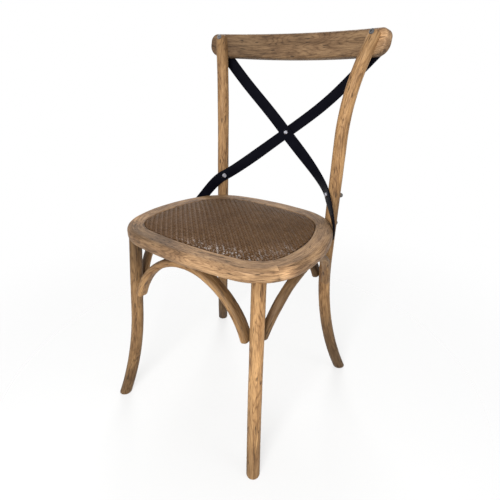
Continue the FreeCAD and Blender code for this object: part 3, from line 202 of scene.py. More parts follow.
def add_floor(radius, solid_radius):
    """A flat disc, FLOOR_VEIL see-through up to solid_radius, and fully so near its rim."""
    turns = np.linspace(0, 2 * np.pi, FLOOR_SIDES, endpoint=False)
    ring = np.stack([np.cos(turns), np.sin(turns), np.zeros(FLOOR_SIDES)], 1) * radius
    mesh = bpy.data.meshes.new("floor")
    mesh.from_pydata(ring.tolist(), [], [list(range(FLOOR_SIDES))])
    floor = bpy.data.objects.new("floor", mesh)
    bpy.context.scene.collection.objects.link(floor)
    material, tree, shader, output = new_material("floor")
    pale = (FLOOR_PALE, FLOOR_PALE, FLOOR_PALE, 1)
    fill(tree, shader, {"Base Color": pale, "Roughness": 0.9, "Specular IOR Level": 0})
    place = step(tree, "TexCoord").outputs["Object"]
    far = step(tree, "VectorMath", {0: place}, operation="LENGTH").outputs["Value"]
    reach = {"Value": far, "From Min": solid_radius, "From Max": radius * 0.97, "To Min": FLOOR_VEIL}
    fade = step(tree, "MapRange", reach, interpolation_type="SMOOTHSTEP").outputs[0]
    clear = step(tree, "BsdfTransparent").outputs[0]
    mix = step(tree, "MixShader", {0: fade, 1: shader.outputs["BSDF"], 2: clear})
    fill(tree, output, {"Surface": mix.outputs[0]})
    mesh.materials.append(material)


add_floor(1.3, 0.35)
print("floor is laid")


# %% Lamps
def add_lamp(name, azimuth, elevation, distance, size, power):
    """A square area lamp aimed at the middle of the chair."""
    data = bpy.data.lights.new(name, "AREA")
    data.size, data.energy = size, power
    lamp = bpy.data.objects.new(name, data)
    bpy.context.scene.collection.objects.link(lamp)
    back = direction(math.radians(azimuth), math.radians(elevation))
    lamp.location = Vector((0, 0, 0.45)) + back * distance
    lamp.rotation_mode = "QUATERNION"
    lamp.rotation_quaternion = (-back).to_track_quat("-Z", "Y")


add_lamp("key", azimuth=20, elevation=20, distance=2.0, size=0.9, power=36)
add_lamp("side", azimuth=95, elevation=25, distance=2.2, size=1.0, power=5)
add_lamp("back", azimuth=215, elevation=46, distance=2.4, size=0.8, power=22)
print(len(bpy.data.lights), "lamps")

# %% [markdown]
# ## From rings to a skin
# Almost every piece of this chair is a section carried along a line: a round one for the
# legs, a box with soft corners for the hoops, a moulded one for the rim. All of them end as
# rings of points, and one function joins the rings with quads and closes both ends. It also
# works out the volume that the faces enclose: if that comes out negative, the faces look
# inwards, and their order is turned round.
#
# Wood must know its own grain. Each point therefore carries an attribute called grain: its
# two places in the section and its distance along the piece. The oak below reads that, so
# its streaks follow every bend and its end grain shows at every end.


# %% Rings to a skin
def enclosed(points, quads, caps):
    """Volume inside the faces: a sixth of the sum of a . (b x c) over all triangles."""
    fans = [caps[:, [0, i, i + 1]] for i in range(1, caps.shape[1] - 1)]
    triangles = np.concatenate([quads[:, [0, 1, 2]], quads[:, [0, 2, 3]]] + fans)
    a, b, c = (points[triangles[:, i]] for i in range(3))
    return np.einsum("ij,ij->", a, np.cross(b, c)) / 6


def skin(name, rings, grain, tone, material, sharp=40):
    """Rings in mm, (pieces, rings, points, 3), joined by quads, with a face over each end.

    Edges that turn by more than sharp degrees stay crisp, and all others are shaded smooth.
    """
    pieces, count, around = rings.shape[:3]
    index = np.arange(pieces * count * around).reshape(pieces, count, around)
    near, far = index[:, :-1], index[:, 1:]
    quads = np.stack([near, np.roll(near, -1, 2), np.roll(far, -1, 2), far], -1).reshape(-1, 4)
    caps = np.concatenate([index[:, 0, ::-1], index[:, -1]])
    points = rings.reshape(-1, 3) * 0.001
    if enclosed(points, quads, caps) < 0:
        quads, caps = quads[:, ::-1], caps[:, ::-1]
    mesh = bpy.data.meshes.new(name)
    mesh.from_pydata(points.tolist(), [], quads.tolist() + caps.tolist())
    tones = np.broadcast_to(tone, rings.shape[:3])
    for word, kind, field, values in (("grain", "FLOAT_VECTOR", "vector", grain * 0.001),
                                      ("tone", "FLOAT", "value", tones)):
        layer = mesh.attributes.new(word, kind, "POINT")
        layer.data.foreach_set(field, values.astype(np.float32).ravel())
    mesh.polygons.foreach_set("use_smooth", np.ones(len(mesh.polygons), bool))
    mesh.set_sharp_from_angle(angle=math.radians(sharp))
    mesh.materials.append(material)
    piece = bpy.data.objects.new(name, mesh)
    bpy.context.scene.collection.objects.link(piece)
    return piece


def take_place(piece, node):
    """The piece rides on the chair's one body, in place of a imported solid."""
    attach(piece, "root")
    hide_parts(node)


print("rings can become skins")


# %% Sections along a line
def unit(vectors):
    """Vectors brought to length 1."""
    return vectors / np.linalg.norm(vectors, axis=-1, keepdims=True)


def square_to(vectors, axis):
    """What is left of vectors square to unit axes, at length 1."""
    return unit(vectors - axis * np.sum(vectors * axis, -1, keepdims=True))


def bearing(angle):
    """Level unit vectors at angles in degrees from +X."""
    turn = np.radians(angle)
    return np.stack([np.cos(turn), np.sin(turn), np.zeros_like(turn)], -1)


def end_steps(length, pace, first_round, last_round, turns=6):
    """Distances along a piece and the inset of its section there.

    At a rounded end of radius r the distance is r(1 - cos t) and the inset r(1 - sin t).
    """
    turn = np.linspace(0, np.pi / 2, turns)
    away, inset = 1 - np.cos(turn), 1 - np.sin(turn)
    count = max(3, int((length - first_round - last_round) / pace) + 2)
    middle = np.linspace(first_round, length - last_round, count)[1:-1]
    places = [away * first_round, middle, length - away[::-1] * last_round]
    insets = [inset * first_round, middle * 0, inset[::-1] * last_round]
    return np.concatenate(places), np.concatenate(insets)


def carry(line, hint, section, pace=5, first_round=0.6, last_round=0.6):
    """Carries section(inset), an array (stations, points, 2), along a line of dense points.

    x is the hint made square to the line, and y is the line's direction crossed with x. Returns
    the rings, the grain (the section's own x and y, and the distance along) and the directions.
    """
    lengths = np.concatenate([[0], np.cumsum(np.linalg.norm(np.diff(line, axis=0), axis=1))])
    along, inset = end_steps(lengths[-1], pace, first_round, last_round)

    def at(values):
        """Values of the dense points, read at the stations."""
        return np.stack([np.interp(along, lengths, column) for column in values.T], -1)

    tangent = unit(at(np.gradient(line, lengths, axis=0)))
    x_axis = square_to(at(np.broadcast_to(hint, line.shape)), tangent)
    y_axis = np.cross(tangent, x_axis)
    shape = section(inset)
    rings = (at(line)[:, None] + shape[..., :1] * x_axis[:, None] + shape[..., 1:] * y_axis[:, None])
    distance = np.broadcast_to(along[:, None, None], shape[..., :1].shape)
    return rings, np.concatenate([shape, distance], -1), tangent


print("sections can be carried")

# %% [markdown]
# ## Oak
# The wood is old oak with a dull, rubbed surface: honey brown with darker streaks, grey in
# the hollows, and nicked here and there. Real oak is a stack of growth rings cut along its
# length, so the finish is built in depth and not painted on. Growth rings are the distance
# from a wandering heart. The flame figure is the contour lines of a slow noise, which a
# Ping-Pong of its value draws. Fibres and pores are noise stretched fifteen to thirty times
# along the grain, so both show as dots where a piece is cut across. Noise scales are waves per
# metre, across and along. Bump and roughness come from the same fibres, because that is where
# dirt and wear sit.


# %% Figure of the oak
RING_WIDTH, FLAME_WIDTH = 0.0042, 0.022    # metres, and share of the slow noise


def lines(tree, value, width, power):
    """0 to 1 and back over each width, raised to a power so that the dark lines are thin."""
    return calc(tree, "POWER", calc(tree, "DIVIDE", calc(tree, "PINGPONG", value, width), width), power)


def growth_rings(tree, grain):
    """Lines at even distances from a heart that wanders up to 30 mm aside."""
    slow = step(tree, "Mapping", {"Vector": grain, "Scale": (14, 14, 3.5)}).outputs[0]
    drift = step(tree, "TexNoise", {"Vector": slow, "Scale": 1.0, "Detail": 2.0}).outputs[1]
    shift = step(tree, "VectorMath", {0: drift, 1: (0.03, 0.03, 0)}, operation="MULTIPLY").outputs[0]
    moved = step(tree, "VectorMath", {0: grain, 1: shift}, operation="ADD").outputs[0]
    flat = step(tree, "VectorMath", {0: moved, 1: (1, 1, 0)}, operation="MULTIPLY").outputs[0]
    heart = step(tree, "VectorMath", {0: flat}, operation="LENGTH").outputs["Value"]
    return lines(tree, heart, RING_WIDTH, 2.2)


def oak_figure(tree, grain, pale, honey, dark):
    """The clean wood's color and its fibres: a weighted sum of four patterns through a ramp."""
    broad = stretched_noise(tree, grain, (64, 64, 10), 4.0, 0.6)
    fibres = stretched_noise(tree, grain, (640, 640, 44), 5.0, 0.75)
    slow = stretched_noise(tree, grain, (34, 34, 4.5), 1.5, 0.4)
    flame = calc(tree, "SUBTRACT", lines(tree, slow, FLAME_WIDTH, 3.0), 0.2)
    mix = calc(tree, "MULTIPLY_ADD", growth_rings(tree, grain), 0.05, calc(tree, "MULTIPLY", broad, 0.5))
    mix = calc(tree, "MULTIPLY_ADD", flame, 0.11, mix)
    mix = calc(tree, "MULTIPLY_ADD", fibres, 0.6, mix)
    return ramp(tree, mix, (0.47, pale), (0.58, honey), (0.74, dark)), fibres


print("rings", RING_WIDTH * 1000, "mm wide")

# %% [markdown]
# Age is laid over the clean wood in the order in which it came: weathering multiplies the
# color by a cool grey in patches, nicks are the rare peaks of a middle-sized noise, and open
# pores are thin dark strokes. Tone, an attribute that each piece sets, makes whole areas
# lighter or darker at the end.


# %% Oak
def limits(tree, value, low, high, to_low=0.0, to_high=1.0):
    """A value brought from one range to another, and held inside it."""
    inputs = {"Value": value, "From Min": low, "From Max": high, "To Min": to_low, "To Max": to_high}
    return step(tree, "MapRange", inputs).outputs[0]


def finish_oak(name, pale, honey, dark, grey, aged):
    """Old oak: figure, weathering up to the share aged, nicks, pores, roughness and bump."""
    material, tree, shader, _ = new_material(name)
    grain = step(tree, "Attribute", attribute_name="grain").outputs["Vector"]
    tone = step(tree, "Attribute", attribute_name="tone").outputs["Fac"]
    wood, fibres = oak_figure(tree, grain, pale, honey, dark)
    weather = limits(tree, stretched_noise(tree, grain, (30, 30, 11), 4.0, 0.7), 0.38, 0.62, 0, aged)
    wood = blend(tree, weather, wood, (*grey, 1), "MULTIPLY")
    nicks = limits(tree, stretched_noise(tree, grain, (240, 240, 34), 2.0), 0.64, 0.69)
    wood = blend(tree, calc(tree, "MULTIPLY", nicks, 0.75), wood, (0.035, 0.02, 0.012, 1))
    pores = limits(tree, stretched_noise(tree, grain, (2400, 2400, 70), 2.0), 0.6, 0.72, 0, 0.45)
    wood = blend(tree, pores, wood, (0.09, 0.05, 0.025, 1))
    level = step(tree, "HueSaturation", {"Color": wood, "Value": tone}).outputs[0]
    height = calc(tree, "MULTIPLY_ADD", nicks, -1.5, fibres)
    height = calc(tree, "MULTIPLY_ADD", pores, -0.7, height)
    fill(tree, shader, {"Base Color": level, "Roughness": limits(tree, fibres, 0.3, 0.7, 0.46, 0.68),
                        "Specular IOR Level": 0.25, "Normal": bumped(tree, height, 0.55, 0.0006)})
    return material


oak = finish_oak("old_oak", pale=(0.7, 0.415, 0.185), honey=(0.48, 0.265, 0.11),
                 dark=(0.15, 0.07, 0.027), grey=(0.55, 0.53, 0.55), aged=0.6)
grey_oak = finish_oak("grey_oak", pale=(0.64, 0.4, 0.21), honey=(0.43, 0.255, 0.128),
                      dark=(0.12, 0.065, 0.032), grey=(0.53, 0.49, 0.48), aged=0.85)
print("finishes:", oak.name, "for legs and hoops,", grey_oak.name, "for rim and crest rail")

# %% [markdown]
# ## The rim's plan
# Seen from above, the seat's rim is a soft trapezoid of arcs: a wide flat one in front, two
# bulging sides, a shallow one behind, and a rounded corner between each pair. A corner
# touches both neighbours, so its centre lies where two circles meet: one about each
# neighbour's centre, with the difference of the two radii.


# %% Plan of the rim
def tangent_center(first, first_reach, second, second_reach, away):
    """Where two circles about first and second meet, on the side of away."""
    gap = np.linalg.norm(second - first)
    along = (first_reach ** 2 - second_reach ** 2 + gap ** 2) / (2 * gap)
    across = math.sqrt(first_reach ** 2 - along ** 2)
    middle = first + (second - first) * (along / gap)
    normal = np.array([first[1] - second[1], second[0] - first[0], 0]) * (across / gap)
    return max((middle + normal, middle - normal), key=lambda point: point @ away)


def angle_of(center, point):
    """Angle in plan, in degrees from +X, of a point seen from a centre."""
    return math.degrees(math.atan2(point[1] - center[1], point[0] - center[0]))


FRONT, CORNER_F, SIDE, CORNER_R, REAR = 900, 115, 310, 138, 560    # plan radii, mm
RIM_FRONT, RIM_SIDE, RIM_REAR, WIDEST = -213.5, 235.3, 168.5, -52.5    # reach, and y of the side's top
front_middle = np.array([0, RIM_FRONT + FRONT, 0])
side_middle = np.array([RIM_SIDE - SIDE, WIDEST, 0])
rear_middle = np.array([0, RIM_REAR - REAR, 0])
front_corner = tangent_center(front_middle, FRONT - CORNER_F, side_middle, SIDE - CORNER_F,
                              np.array([1, -1, 0]))
rear_corner = tangent_center(rear_middle, REAR - CORNER_R, side_middle, SIDE - CORNER_R,
                             np.array([1, 1, 0]))
turns = [angle_of(front_middle, front_corner), angle_of(side_middle, front_corner),
         angle_of(side_middle, rear_corner), angle_of(rear_middle, rear_corner)]
print("corners at", front_corner.round(1), rear_corner.round(1))

# %% [markdown]
# The rim is made of four sawn rails. Each follows its share of the arcs, from joint to
# joint, and the left side is the right one mirrored and run backwards.

# %% Rails of the rim
FRONT_JOINT, REAR_JOINT = -36, 68


def mirrored(arcs):
    """The same arcs on the left side, run backwards."""
    return [(center * [-1, 1, 1], radius, 180 - stop, 180 - start)
            for center, radius, start, stop in reversed(arcs)]


def side_arcs(start, stop):
    """From an angle on the front corner, along the side, to an angle on the rear corner."""
    return [(front_corner, CORNER_F, start, turns[1]), (side_middle, SIDE, turns[1], turns[2]),
            (rear_corner, CORNER_R, turns[2], stop)]


front_half = [(front_middle, FRONT, -90, turns[0]), (front_corner, CORNER_F, turns[0], FRONT_JOINT)]
rear_half = [(rear_corner, CORNER_R, REAR_JOINT, turns[3]), (rear_middle, REAR, turns[3], 90)]
side_run = side_arcs(FRONT_JOINT, REAR_JOINT)
RAILS = {"seat_rail_front": mirrored(front_half) + front_half, "seat_rail_right": side_run,
         "seat_rail_rear": rear_half + mirrored(rear_half), "seat_rail_left": mirrored(side_run)}
right_half = front_half[:1] + side_arcs(turns[0], turns[3]) + rear_half[1:]
WHOLE = right_half + mirrored(right_half)


def along_arcs(arcs, inset=0, pace=2.0):
    """Points along joined arcs: centre + (radius - inset) times the bearing."""
    runs = []
    for center, radius, start, stop in arcs:
        count = int(abs(math.radians(stop - start)) * radius / pace) + 2
        runs.append(center + (radius - inset) * bearing(np.linspace(start, stop, count)[:-1]))
    center, radius, _, stop = arcs[-1]
    runs.append(center + (radius - inset) * bearing(np.array([stop])))
    return np.concatenate(runs)


print("rim is", round(np.ptp(along_arcs(WHOLE)[:, 0]), 1), "mm wide")

# %% [markdown]
# A rail's section is 34 high, soft at both outer edges, with a step inside that the seat
# board rests on. Hand work leaves a rail a little uneven, so its skin is drawn in by a few
# tenths of a millimetre in long slow waves.


# %% Section of a rail
def corner_arc(center, radius, start, stop, count=9):
    """Points of a rounded corner in a section."""
    turn = np.radians(np.linspace(start, stop, count))
    return np.stack([center[0] + radius * np.cos(turn), center[1] + radius * np.sin(turn)], -1)


def straight(*corners, pace=3.0):
    """Points along straight sides, about pace apart, without the last corner."""
    runs = [np.linspace(a, b, max(1, int(math.dist(a, b) / pace)), endpoint=False)
            for a, b in zip(corners, corners[1:])]
    return np.concatenate(runs)


TOP, UNDER, LEDGE = 463.0, 429.0, 451.0
RAIL = np.concatenate([
    corner_arc((11, TOP - 11), 11, 90, 180), corner_arc((15, UNDER + 15), 15, 180, 270),
    straight((18, UNDER), (51, UNDER), (51, LEDGE), (40, LEDGE), (40, TOP - 4)),
    corner_arc((37.5, TOP - 2.5), 2.5, 0, 90, 5), straight((34, TOP), (12, TOP)),
])


def rail_section(inset):
    """The rail's section, drawn towards its middle by the inset over about 20 mm."""
    middle = np.array([25, 446])
    share = 1 - inset[:, None, None] / 20
    return middle + (RAIL - middle) * share


def waves(points, amount, seed, length=90):
    """Slow unevenness between 0 and amount: three sines in random directions."""
    chance = np.random.default_rng(seed)
    lengths = length * np.array([[1], [0.63], [0.4]])
    turns_per_mm = unit(chance.normal(size=(3, 3))) * 2 * np.pi / lengths
    phases = points @ turns_per_mm.T + chance.uniform(0, 6.28, 3)
    return amount * (0.5 + np.sin(phases) @ np.array([0.25, 0.15, 0.1]))


print("rail section has", len(RAIL), "points")

# %% [markdown]
# The front rail is the lightest piece of the rim, and both front corners are rubbed almost
# bare where knees and hands pass. Two dark nicks sit beside the right one. The right rail is
# darker as painted shade, and the tops of all rails carry painted shade, less on the right
# rail's top. Tone says how light a point is: 1 is the plain finish, and spots are added or
# taken away around a few places. No two pieces come from the same place in a log, so each
# seed moves the grain.


# %% Rim
def spots(points, places):
    """Sum of soft spots: amount times exp(-(distance / reach) squared)."""
    total = 0
    for place, reach, amount in places:
        far = np.linalg.norm(points - np.array(place), axis=-1)
        total = total + amount * np.exp(-(far / reach) ** 2)
    return total


def another_cut(grain, seed, steps, room=(1000, 1000), least=(0, 0, 0)):
    """Grain moved by seed times steps in mm, wrapped into the room across the log, from least."""
    across = np.mod(np.array(steps[:2]) * seed, room)
    return grain + np.append(across, steps[2] * seed) + least


# painted shade on the rails' tops, as a share taken from the tone
TOP_SHADE = 0.23
# each rail's tone; the right rail's lower value is painted shade
RAIL_TONE_AND_SHADE = {"seat_rail_front": 1.0, "seat_rail_right": 0.76, "seat_rail_rear": 0.95,
              "seat_rail_left": 0.95}
# rubbed front corners, a darker left and lighter middle of the front rail, two nicks, and a last spot
# that takes back part of the painted top shade on the right rail
RIM_SPOTS = [((217, -141, 450), 21, 0.85), ((-213, -130, 446), 26, 0.5), ((-70, -208, 446), 60, -0.3),
        ((-150, -190, 446), 60, -0.3), ((50, -205, 446), 60, 0.1), ((209, -157, 440), 5, -0.85),
        ((203, -162, 437), 4, -0.7), ((215, -40, 466), 70, 0.33)]
for seed, (name, arcs) in enumerate(RAILS.items()):
    line = along_arcs(arcs)
    inward = np.cross([0, 0, 1], unit(np.gradient(line, axis=0)))
    rings, grain, _ = carry(line, inward, rail_section, pace=5)
    pull = waves(rings, 0.35, seed)[..., None] * unit(rings.mean(1, keepdims=True) - rings)
    grain = another_cut(grain, seed, (61, 43, 417), least=(40, -452, 300))
    # painted shade: darker over the upper 9 mm of each rail
    top = np.clip((rings[..., 2] - TOP + 9) / 8, 0, 1)
    tone = RAIL_TONE_AND_SHADE[name] - TOP_SHADE * top + spots(rings, RIM_SPOTS)
    take_place(skin(name + "_oak", (rings + pull)[None], grain, tone, grey_oak), name)
print("rim of", len(RAILS), "rails")

# %% [markdown]
# ## Legs and posts
# The rear legs run up past the seat as the back's posts. All four were bent from round
# rods: straight in the middle, with the feet kicked outwards on an arc and the posts' tops
# flared on another. Height is the easiest way to ask for a point on such a rod: below and
# above the straight run, the angle on the arc that reaches a height is found first. The
# bend's sign needs care: on the lower arc the distance runs downwards, so the sense is -1.


# %% Rods
LEG_RADIUS = 15


class Rod:
    """Centre line of a bent leg: a straight run, an arc below it and perhaps one above."""

    def __init__(self, through, lean, low_height, high_height, low_bend, high_bend):
        """A point on the axis, its lean towards +X and +Y, and (radius, bearing) of each bend."""
        self.along = unit(np.append(np.tan(np.radians(lean)), 1))
        self.low = through + self.along * (low_height - through[2]) / self.along[2]
        self.high = through + self.along * (high_height - through[2]) / self.along[2]
        self.bends = low_bend, high_bend

    def on_bend(self, heights, start, bend, sense):
        """start + along sin(t) r sense + out (1 - cos t) r, with t from the height wanted."""
        radius, out = bend[0], square_to(bearing(np.array(bend[1])), self.along)
        rise, drift = radius * self.along[2], radius * out[2]
        wanted = (heights - start[2] - drift) * sense / math.hypot(rise, drift)
        turn = (np.arcsin(np.clip(wanted, -1, 1)) + math.atan2(drift, rise) * sense)[:, None]
        return start + self.along * (sense * radius * np.sin(turn)) + out * (radius * (1 - np.cos(turn)))

    def at(self, heights):
        """Points of the centre line at heights."""
        heights = np.atleast_1d(np.asarray(heights, float))
        points = self.low + self.along * ((heights - self.low[2]) / self.along[2])[:, None]
        below, above = heights < self.low[2], heights > self.high[2]
        points[below] = self.on_bend(heights[below], self.low, self.bends[0], -1)
        if self.bends[1]:
            points[above] = self.on_bend(heights[above], self.high, self.bends[1], 1)
        return points


def on_corner(center, radius, angle, inset, height):
    """A place on a corner of the rim, inset inwards."""
    return center + bearing(np.array(angle)) * (radius - inset) + [0, 0, height]


leg_place = on_corner(front_corner, CORNER_F, -54.9, LEG_RADIUS + 0.5, UNDER)
post_place = on_corner(rear_corner, CORNER_R, 54.5, 1 - LEG_RADIUS, 445)
leg_rod = Rod(leg_place, (-1.84, 5.52), 238, 434, (832, -53.4), None)
post_rod = Rod(post_place, (0.53, 3.95), 354, 641, (763, 52.5), (533, 44.7))
print("front foot at", leg_rod.at(0).round(1), "rear foot at", post_rod.at(0).round(1))

# %% [markdown]
# A foot is cut level with the floor although its leg leans, so the last sections are slid
# along the leg's axis until they lie level, and drawn in by a few tenths of a millimetre.
# The legs grow darker towards the floor. Painted shade darkens them in bands under the rim,
# on the posts where the straps are bolted on, and on the posts at the crest rail. The front
# left leg stands in the others' shade and is the darkest, with more painted shade under the
# rim, and the front right one is lighter on its outer side as painted light.


# %% Legs
def circle_section(radius, points=32):
    """Circles of radius minus inset."""
    turn = np.linspace(0, 2 * np.pi, points, endpoint=False)
    ring = np.stack([np.cos(turn), np.sin(turn)], -1)
    return lambda inset: ring * (radius - inset)[:, None, None]


def rod_rings(line, top_round):
    """Round sections along a leg's line, level at the floor."""
    rings, grain, tangent = carry(line, [1, 0, 0], circle_section(LEG_RADIUS), 7, 3, top_round)
    middles = rings.mean(1, keepdims=True)
    lean = tangent[:, None] * ((rings - middles)[..., 2:] / tangent[:, None, 2:])
    level = np.clip(1 - (middles[..., 2:] - 4) / 60, 0, 1)
    return middles + (rings - middles - lean * level) * (1 - 0.03 * level), grain


def band(height, middle, reach):
    """1 at a height and less on both sides: exp(-((height - middle) / reach) squared)."""
    return np.exp(-((height - middle) / reach) ** 2)


# the side of the front right leg that is painted lighter, as painted light
FIRST_LEG_SEED, LIT_SIDE = 34, np.array([0.81, 0.58, 0])
LEGS = {"front_leg": (leg_rod, 434, 0.6, 0.5, 125), "rear_leg": (post_rod, 859.5, 5, 0.78, 230)}
LEG_TONES = {"front_leg_right": 1.14, "front_leg_left": 0.64, "rear_leg_right": 1.0,
             "rear_leg_left": 0.86}
for pair, (base, (rod, top, top_round, foot_darkening, foot_reach)) in enumerate(LEGS.items()):
    rings, grain = rod_rings(rod.at(np.linspace(0, top, 400)), top_round)
    for number, (side, flip) in enumerate((("right", 1), ("left", -1))):
        name, seed = f"{base}_{side}", FIRST_LEG_SEED + 2 * pair + number
        placed = rings * [flip, 1, 1]
        middles = placed.mean(1, keepdims=True)
        placed = middles + (placed - middles) * (1 - waves(placed, 0.03, seed, 130)[..., None])
        height = placed[..., 2]
        # darker towards the floor, and painted shade on the posts at the crest rail
        darkening = foot_darkening * band(height, 0, foot_reach) + 0.3 * np.clip((height - 780) / 60, 0, 1)
        # painted shade where the straps are bolted on and under the rim
        darkening = darkening + 0.3 * (band(height, 500, 45) + band(height, 430, 40))
        tone = LEG_TONES[name] * (1 - darkening)
        if name == "front_leg_right":
            # painted light: lighter on the outer side
            tone = tone * (1 + 0.02 * ((placed - middles) @ LIT_SIDE))
        if name == "front_leg_left":
            # painted shade under the rim
            tone = tone * (1 - 0.42 * band(height, 385, 60))
        grain_here = another_cut(grain, seed, (37, 53, 211), (90, 80), (14, 0, 0))
        take_place(skin(name + "_oak", placed[None], grain_here, tone, oak), name)
print("legs:", sorted(LEG_TONES))

# %% [markdown]
# ## Hooped braces
# Under the seat each pair of legs is joined by a hoop of bent wood. Its ends lie on the
# insides of the legs and its top touches the rail. The centre line is the top of a tall
# ellipse: its centre lies below the spring line by the dip, so the ends come down nearly
# upright. The long edges are well rounded, and the ends are sanded to soft stubs. The hoops
# are darker than the legs, partly as painted shade under the seat, and painted shade darkens
# their upper side, which faces the seat, and lightens their lower side a little.


# %% Hoops
SPRING, DIP, TAIL, REACH = 300, 75, 5, 8
HOOP_HIGH, HOOP_DEPTH, SIDE_DEPTH, HOOP_EDGE, STUB_ROUND = 18, 28, 21, 7, 6


def hoop_line(first, first_side, second, second_side, top):
    """Centre line (wide cos t, tall sin t - dip) in the plane of the two ends and the top."""
    start, stop = first + first_side * (LEG_RADIUS + REACH), second + second_side * (LEG_RADIUS + REACH)
    x_axis, base = unit(stop - start), (start + stop) / 2
    z_axis = square_to(top - base, x_axis)
    rise = (top - base) @ z_axis
    tall = rise + DIP
    wide = np.linalg.norm(stop - start) / 2 / math.sqrt(1 - (DIP / tall) ** 2)
    low = math.asin((DIP - TAIL) / tall)
    turn = np.linspace(low, np.pi - low, 300)[:, None]
    line = base + x_axis * (wide * np.cos(turn)) + z_axis * (tall * np.sin(turn) - DIP)
    return line, np.cross(x_axis, z_axis)


def box_section(width, depth, radius, count=5):
    """A box with rounded corners, all drawn in by the inset."""
    def section(inset):
        """The box for each inset, as four corner arcs."""
        inset = inset[:, None]
        soft = np.maximum(radius - inset, 0.35)
        turn = np.radians(np.concatenate([np.linspace(a, a + 90, count) for a in (0, 90, 180, 270)]))
        side_x = np.sign(np.repeat([1, -1, -1, 1], count))
        side_y = np.sign(np.repeat([1, 1, -1, -1], count))
        x = side_x * (width / 2 - inset - soft) + soft * np.cos(turn)
        y = side_y * (depth / 2 - inset - soft) + soft * np.sin(turn)
        return np.stack([x, y], -1)
    return section


print("hoops can be bent")

# %% Four hoops
leg_spot, post_spot = leg_rod.at(SPRING)[0], post_rod.at(SPRING)[0]
LEFTWARD = np.array([-1, 1, 1])
hoop_top = UNDER - HOOP_HIGH / 2 + 0.6
front_turn = bearing(np.array(10.0))
middle_y = (leg_spot[1] + post_spot[1]) / 2
side_x = side_middle[0] + math.sqrt((SIDE - 30) ** 2 - (middle_y - side_middle[1]) ** 2)
side_ends = (leg_spot, np.array([0, 1, 0]), post_spot, bearing(np.array(-60.0)),
             np.array([side_x, middle_y, hoop_top]))
HOOPS = {
    "front_brace": (leg_spot * LEFTWARD, front_turn * [1, -1, 1], leg_spot, -front_turn,
                    np.array([0, RIM_FRONT + 31, hoop_top])),
    "rear_brace": (post_spot * LEFTWARD, np.array([1, 0, 0]), post_spot, np.array([-1, 0, 0]),
                   np.array([0, RIM_REAR - 31, hoop_top])),
    "side_brace_right": side_ends,
    "side_brace_left": tuple(part * LEFTWARD for part in side_ends),
}
FIRST_HOOP_SEED = 38
# each hoop's tone, lowered partly as painted shade under the seat
HOOP_TONE_AND_SHADE = {"front_brace": 0.68, "rear_brace": 0.36, "side_brace_right": 0.52,
              "side_brace_left": 0.5}
for seed, (name, ends) in enumerate(HOOPS.items(), FIRST_HOOP_SEED):
    line, plane = hoop_line(*ends)
    depth = SIDE_DEPTH if name.startswith("side") else HOOP_DEPTH
    section = box_section(depth, HOOP_HIGH, HOOP_EDGE)
    rings, grain, _ = carry(line, plane, section, 5, STUB_ROUND, STUB_ROUND)
    middles = rings.mean(1, keepdims=True)
    rings = middles + (rings - middles) * (1 - waves(rings, 0.07, seed, 70)[..., None])
    # painted shade: the upper side, towards the seat, is darker and the lower side a little lighter
    upper = np.clip(grain[..., 1] / (HOOP_HIGH / 2), -0.5, 0.75)
    tone = HOOP_TONE_AND_SHADE[name] * (1 - 0.5 * upper)
    grain = another_cut(grain, seed, (29, 47, 331), (70, 60), (10, 8, 0))
    take_place(skin(name + "_oak", rings[None], grain, tone, oak), name)
print("hoops:", sorted(HOOPS))

# %% [markdown]
# ## Crest rail
# The crest rail is a bowed board, 24 thick, hollow in front, tilted back, with its top edge
# slightly arched and its ends rounded. It is easiest to draw flat, as sections across the
# board: at a distance along, the outline gives the lowest and highest point, and each
# point's distance to the outline gives how far the rounded edge has taken the faces in.
# The flat board is then wrapped round the bow. It is darker than the posts, above all on the
# left, and a painted highlight makes its right end pale.

# %% Crest rail
TILT, CREST_LEVEL = math.radians(15.5), 837
BOW, THICK, HIGH, ARCH = 870, 24, 57.7, 6000    # ARCH is the radius of the top edge
PAST_POST, NOTCH = 37.5, 12.5    # the end beyond a post's axis, and how far a post is let in
crest_y = np.array([0, math.cos(TILT), -math.sin(TILT)])
crest_z = np.array([0, math.sin(TILT), math.cos(TILT)])
post_at_crest = post_rod.at(CREST_LEVEL)[0]
half_length = post_at_crest[0] + PAST_POST
bow_depth = math.sqrt((BOW - LEG_RADIUS + NOTCH) ** 2 - post_at_crest[0] ** 2) - BOW
crest_place = np.array([0, post_at_crest[1] - bow_depth / crest_y[1], CREST_LEVEL])


def wrapped(along, height, out):
    """A flat board's point on the bow: angle = along / radius of the board's middle."""
    angle = along / (BOW + THICK / 2)
    reach = BOW + out
    flat = [reach * np.sin(angle), reach * np.cos(angle) - BOW, height]
    return (crest_place + flat[0][..., None] * np.array([1, 0, 0]) + flat[1][..., None] * crest_y
            + flat[2][..., None] * crest_z)


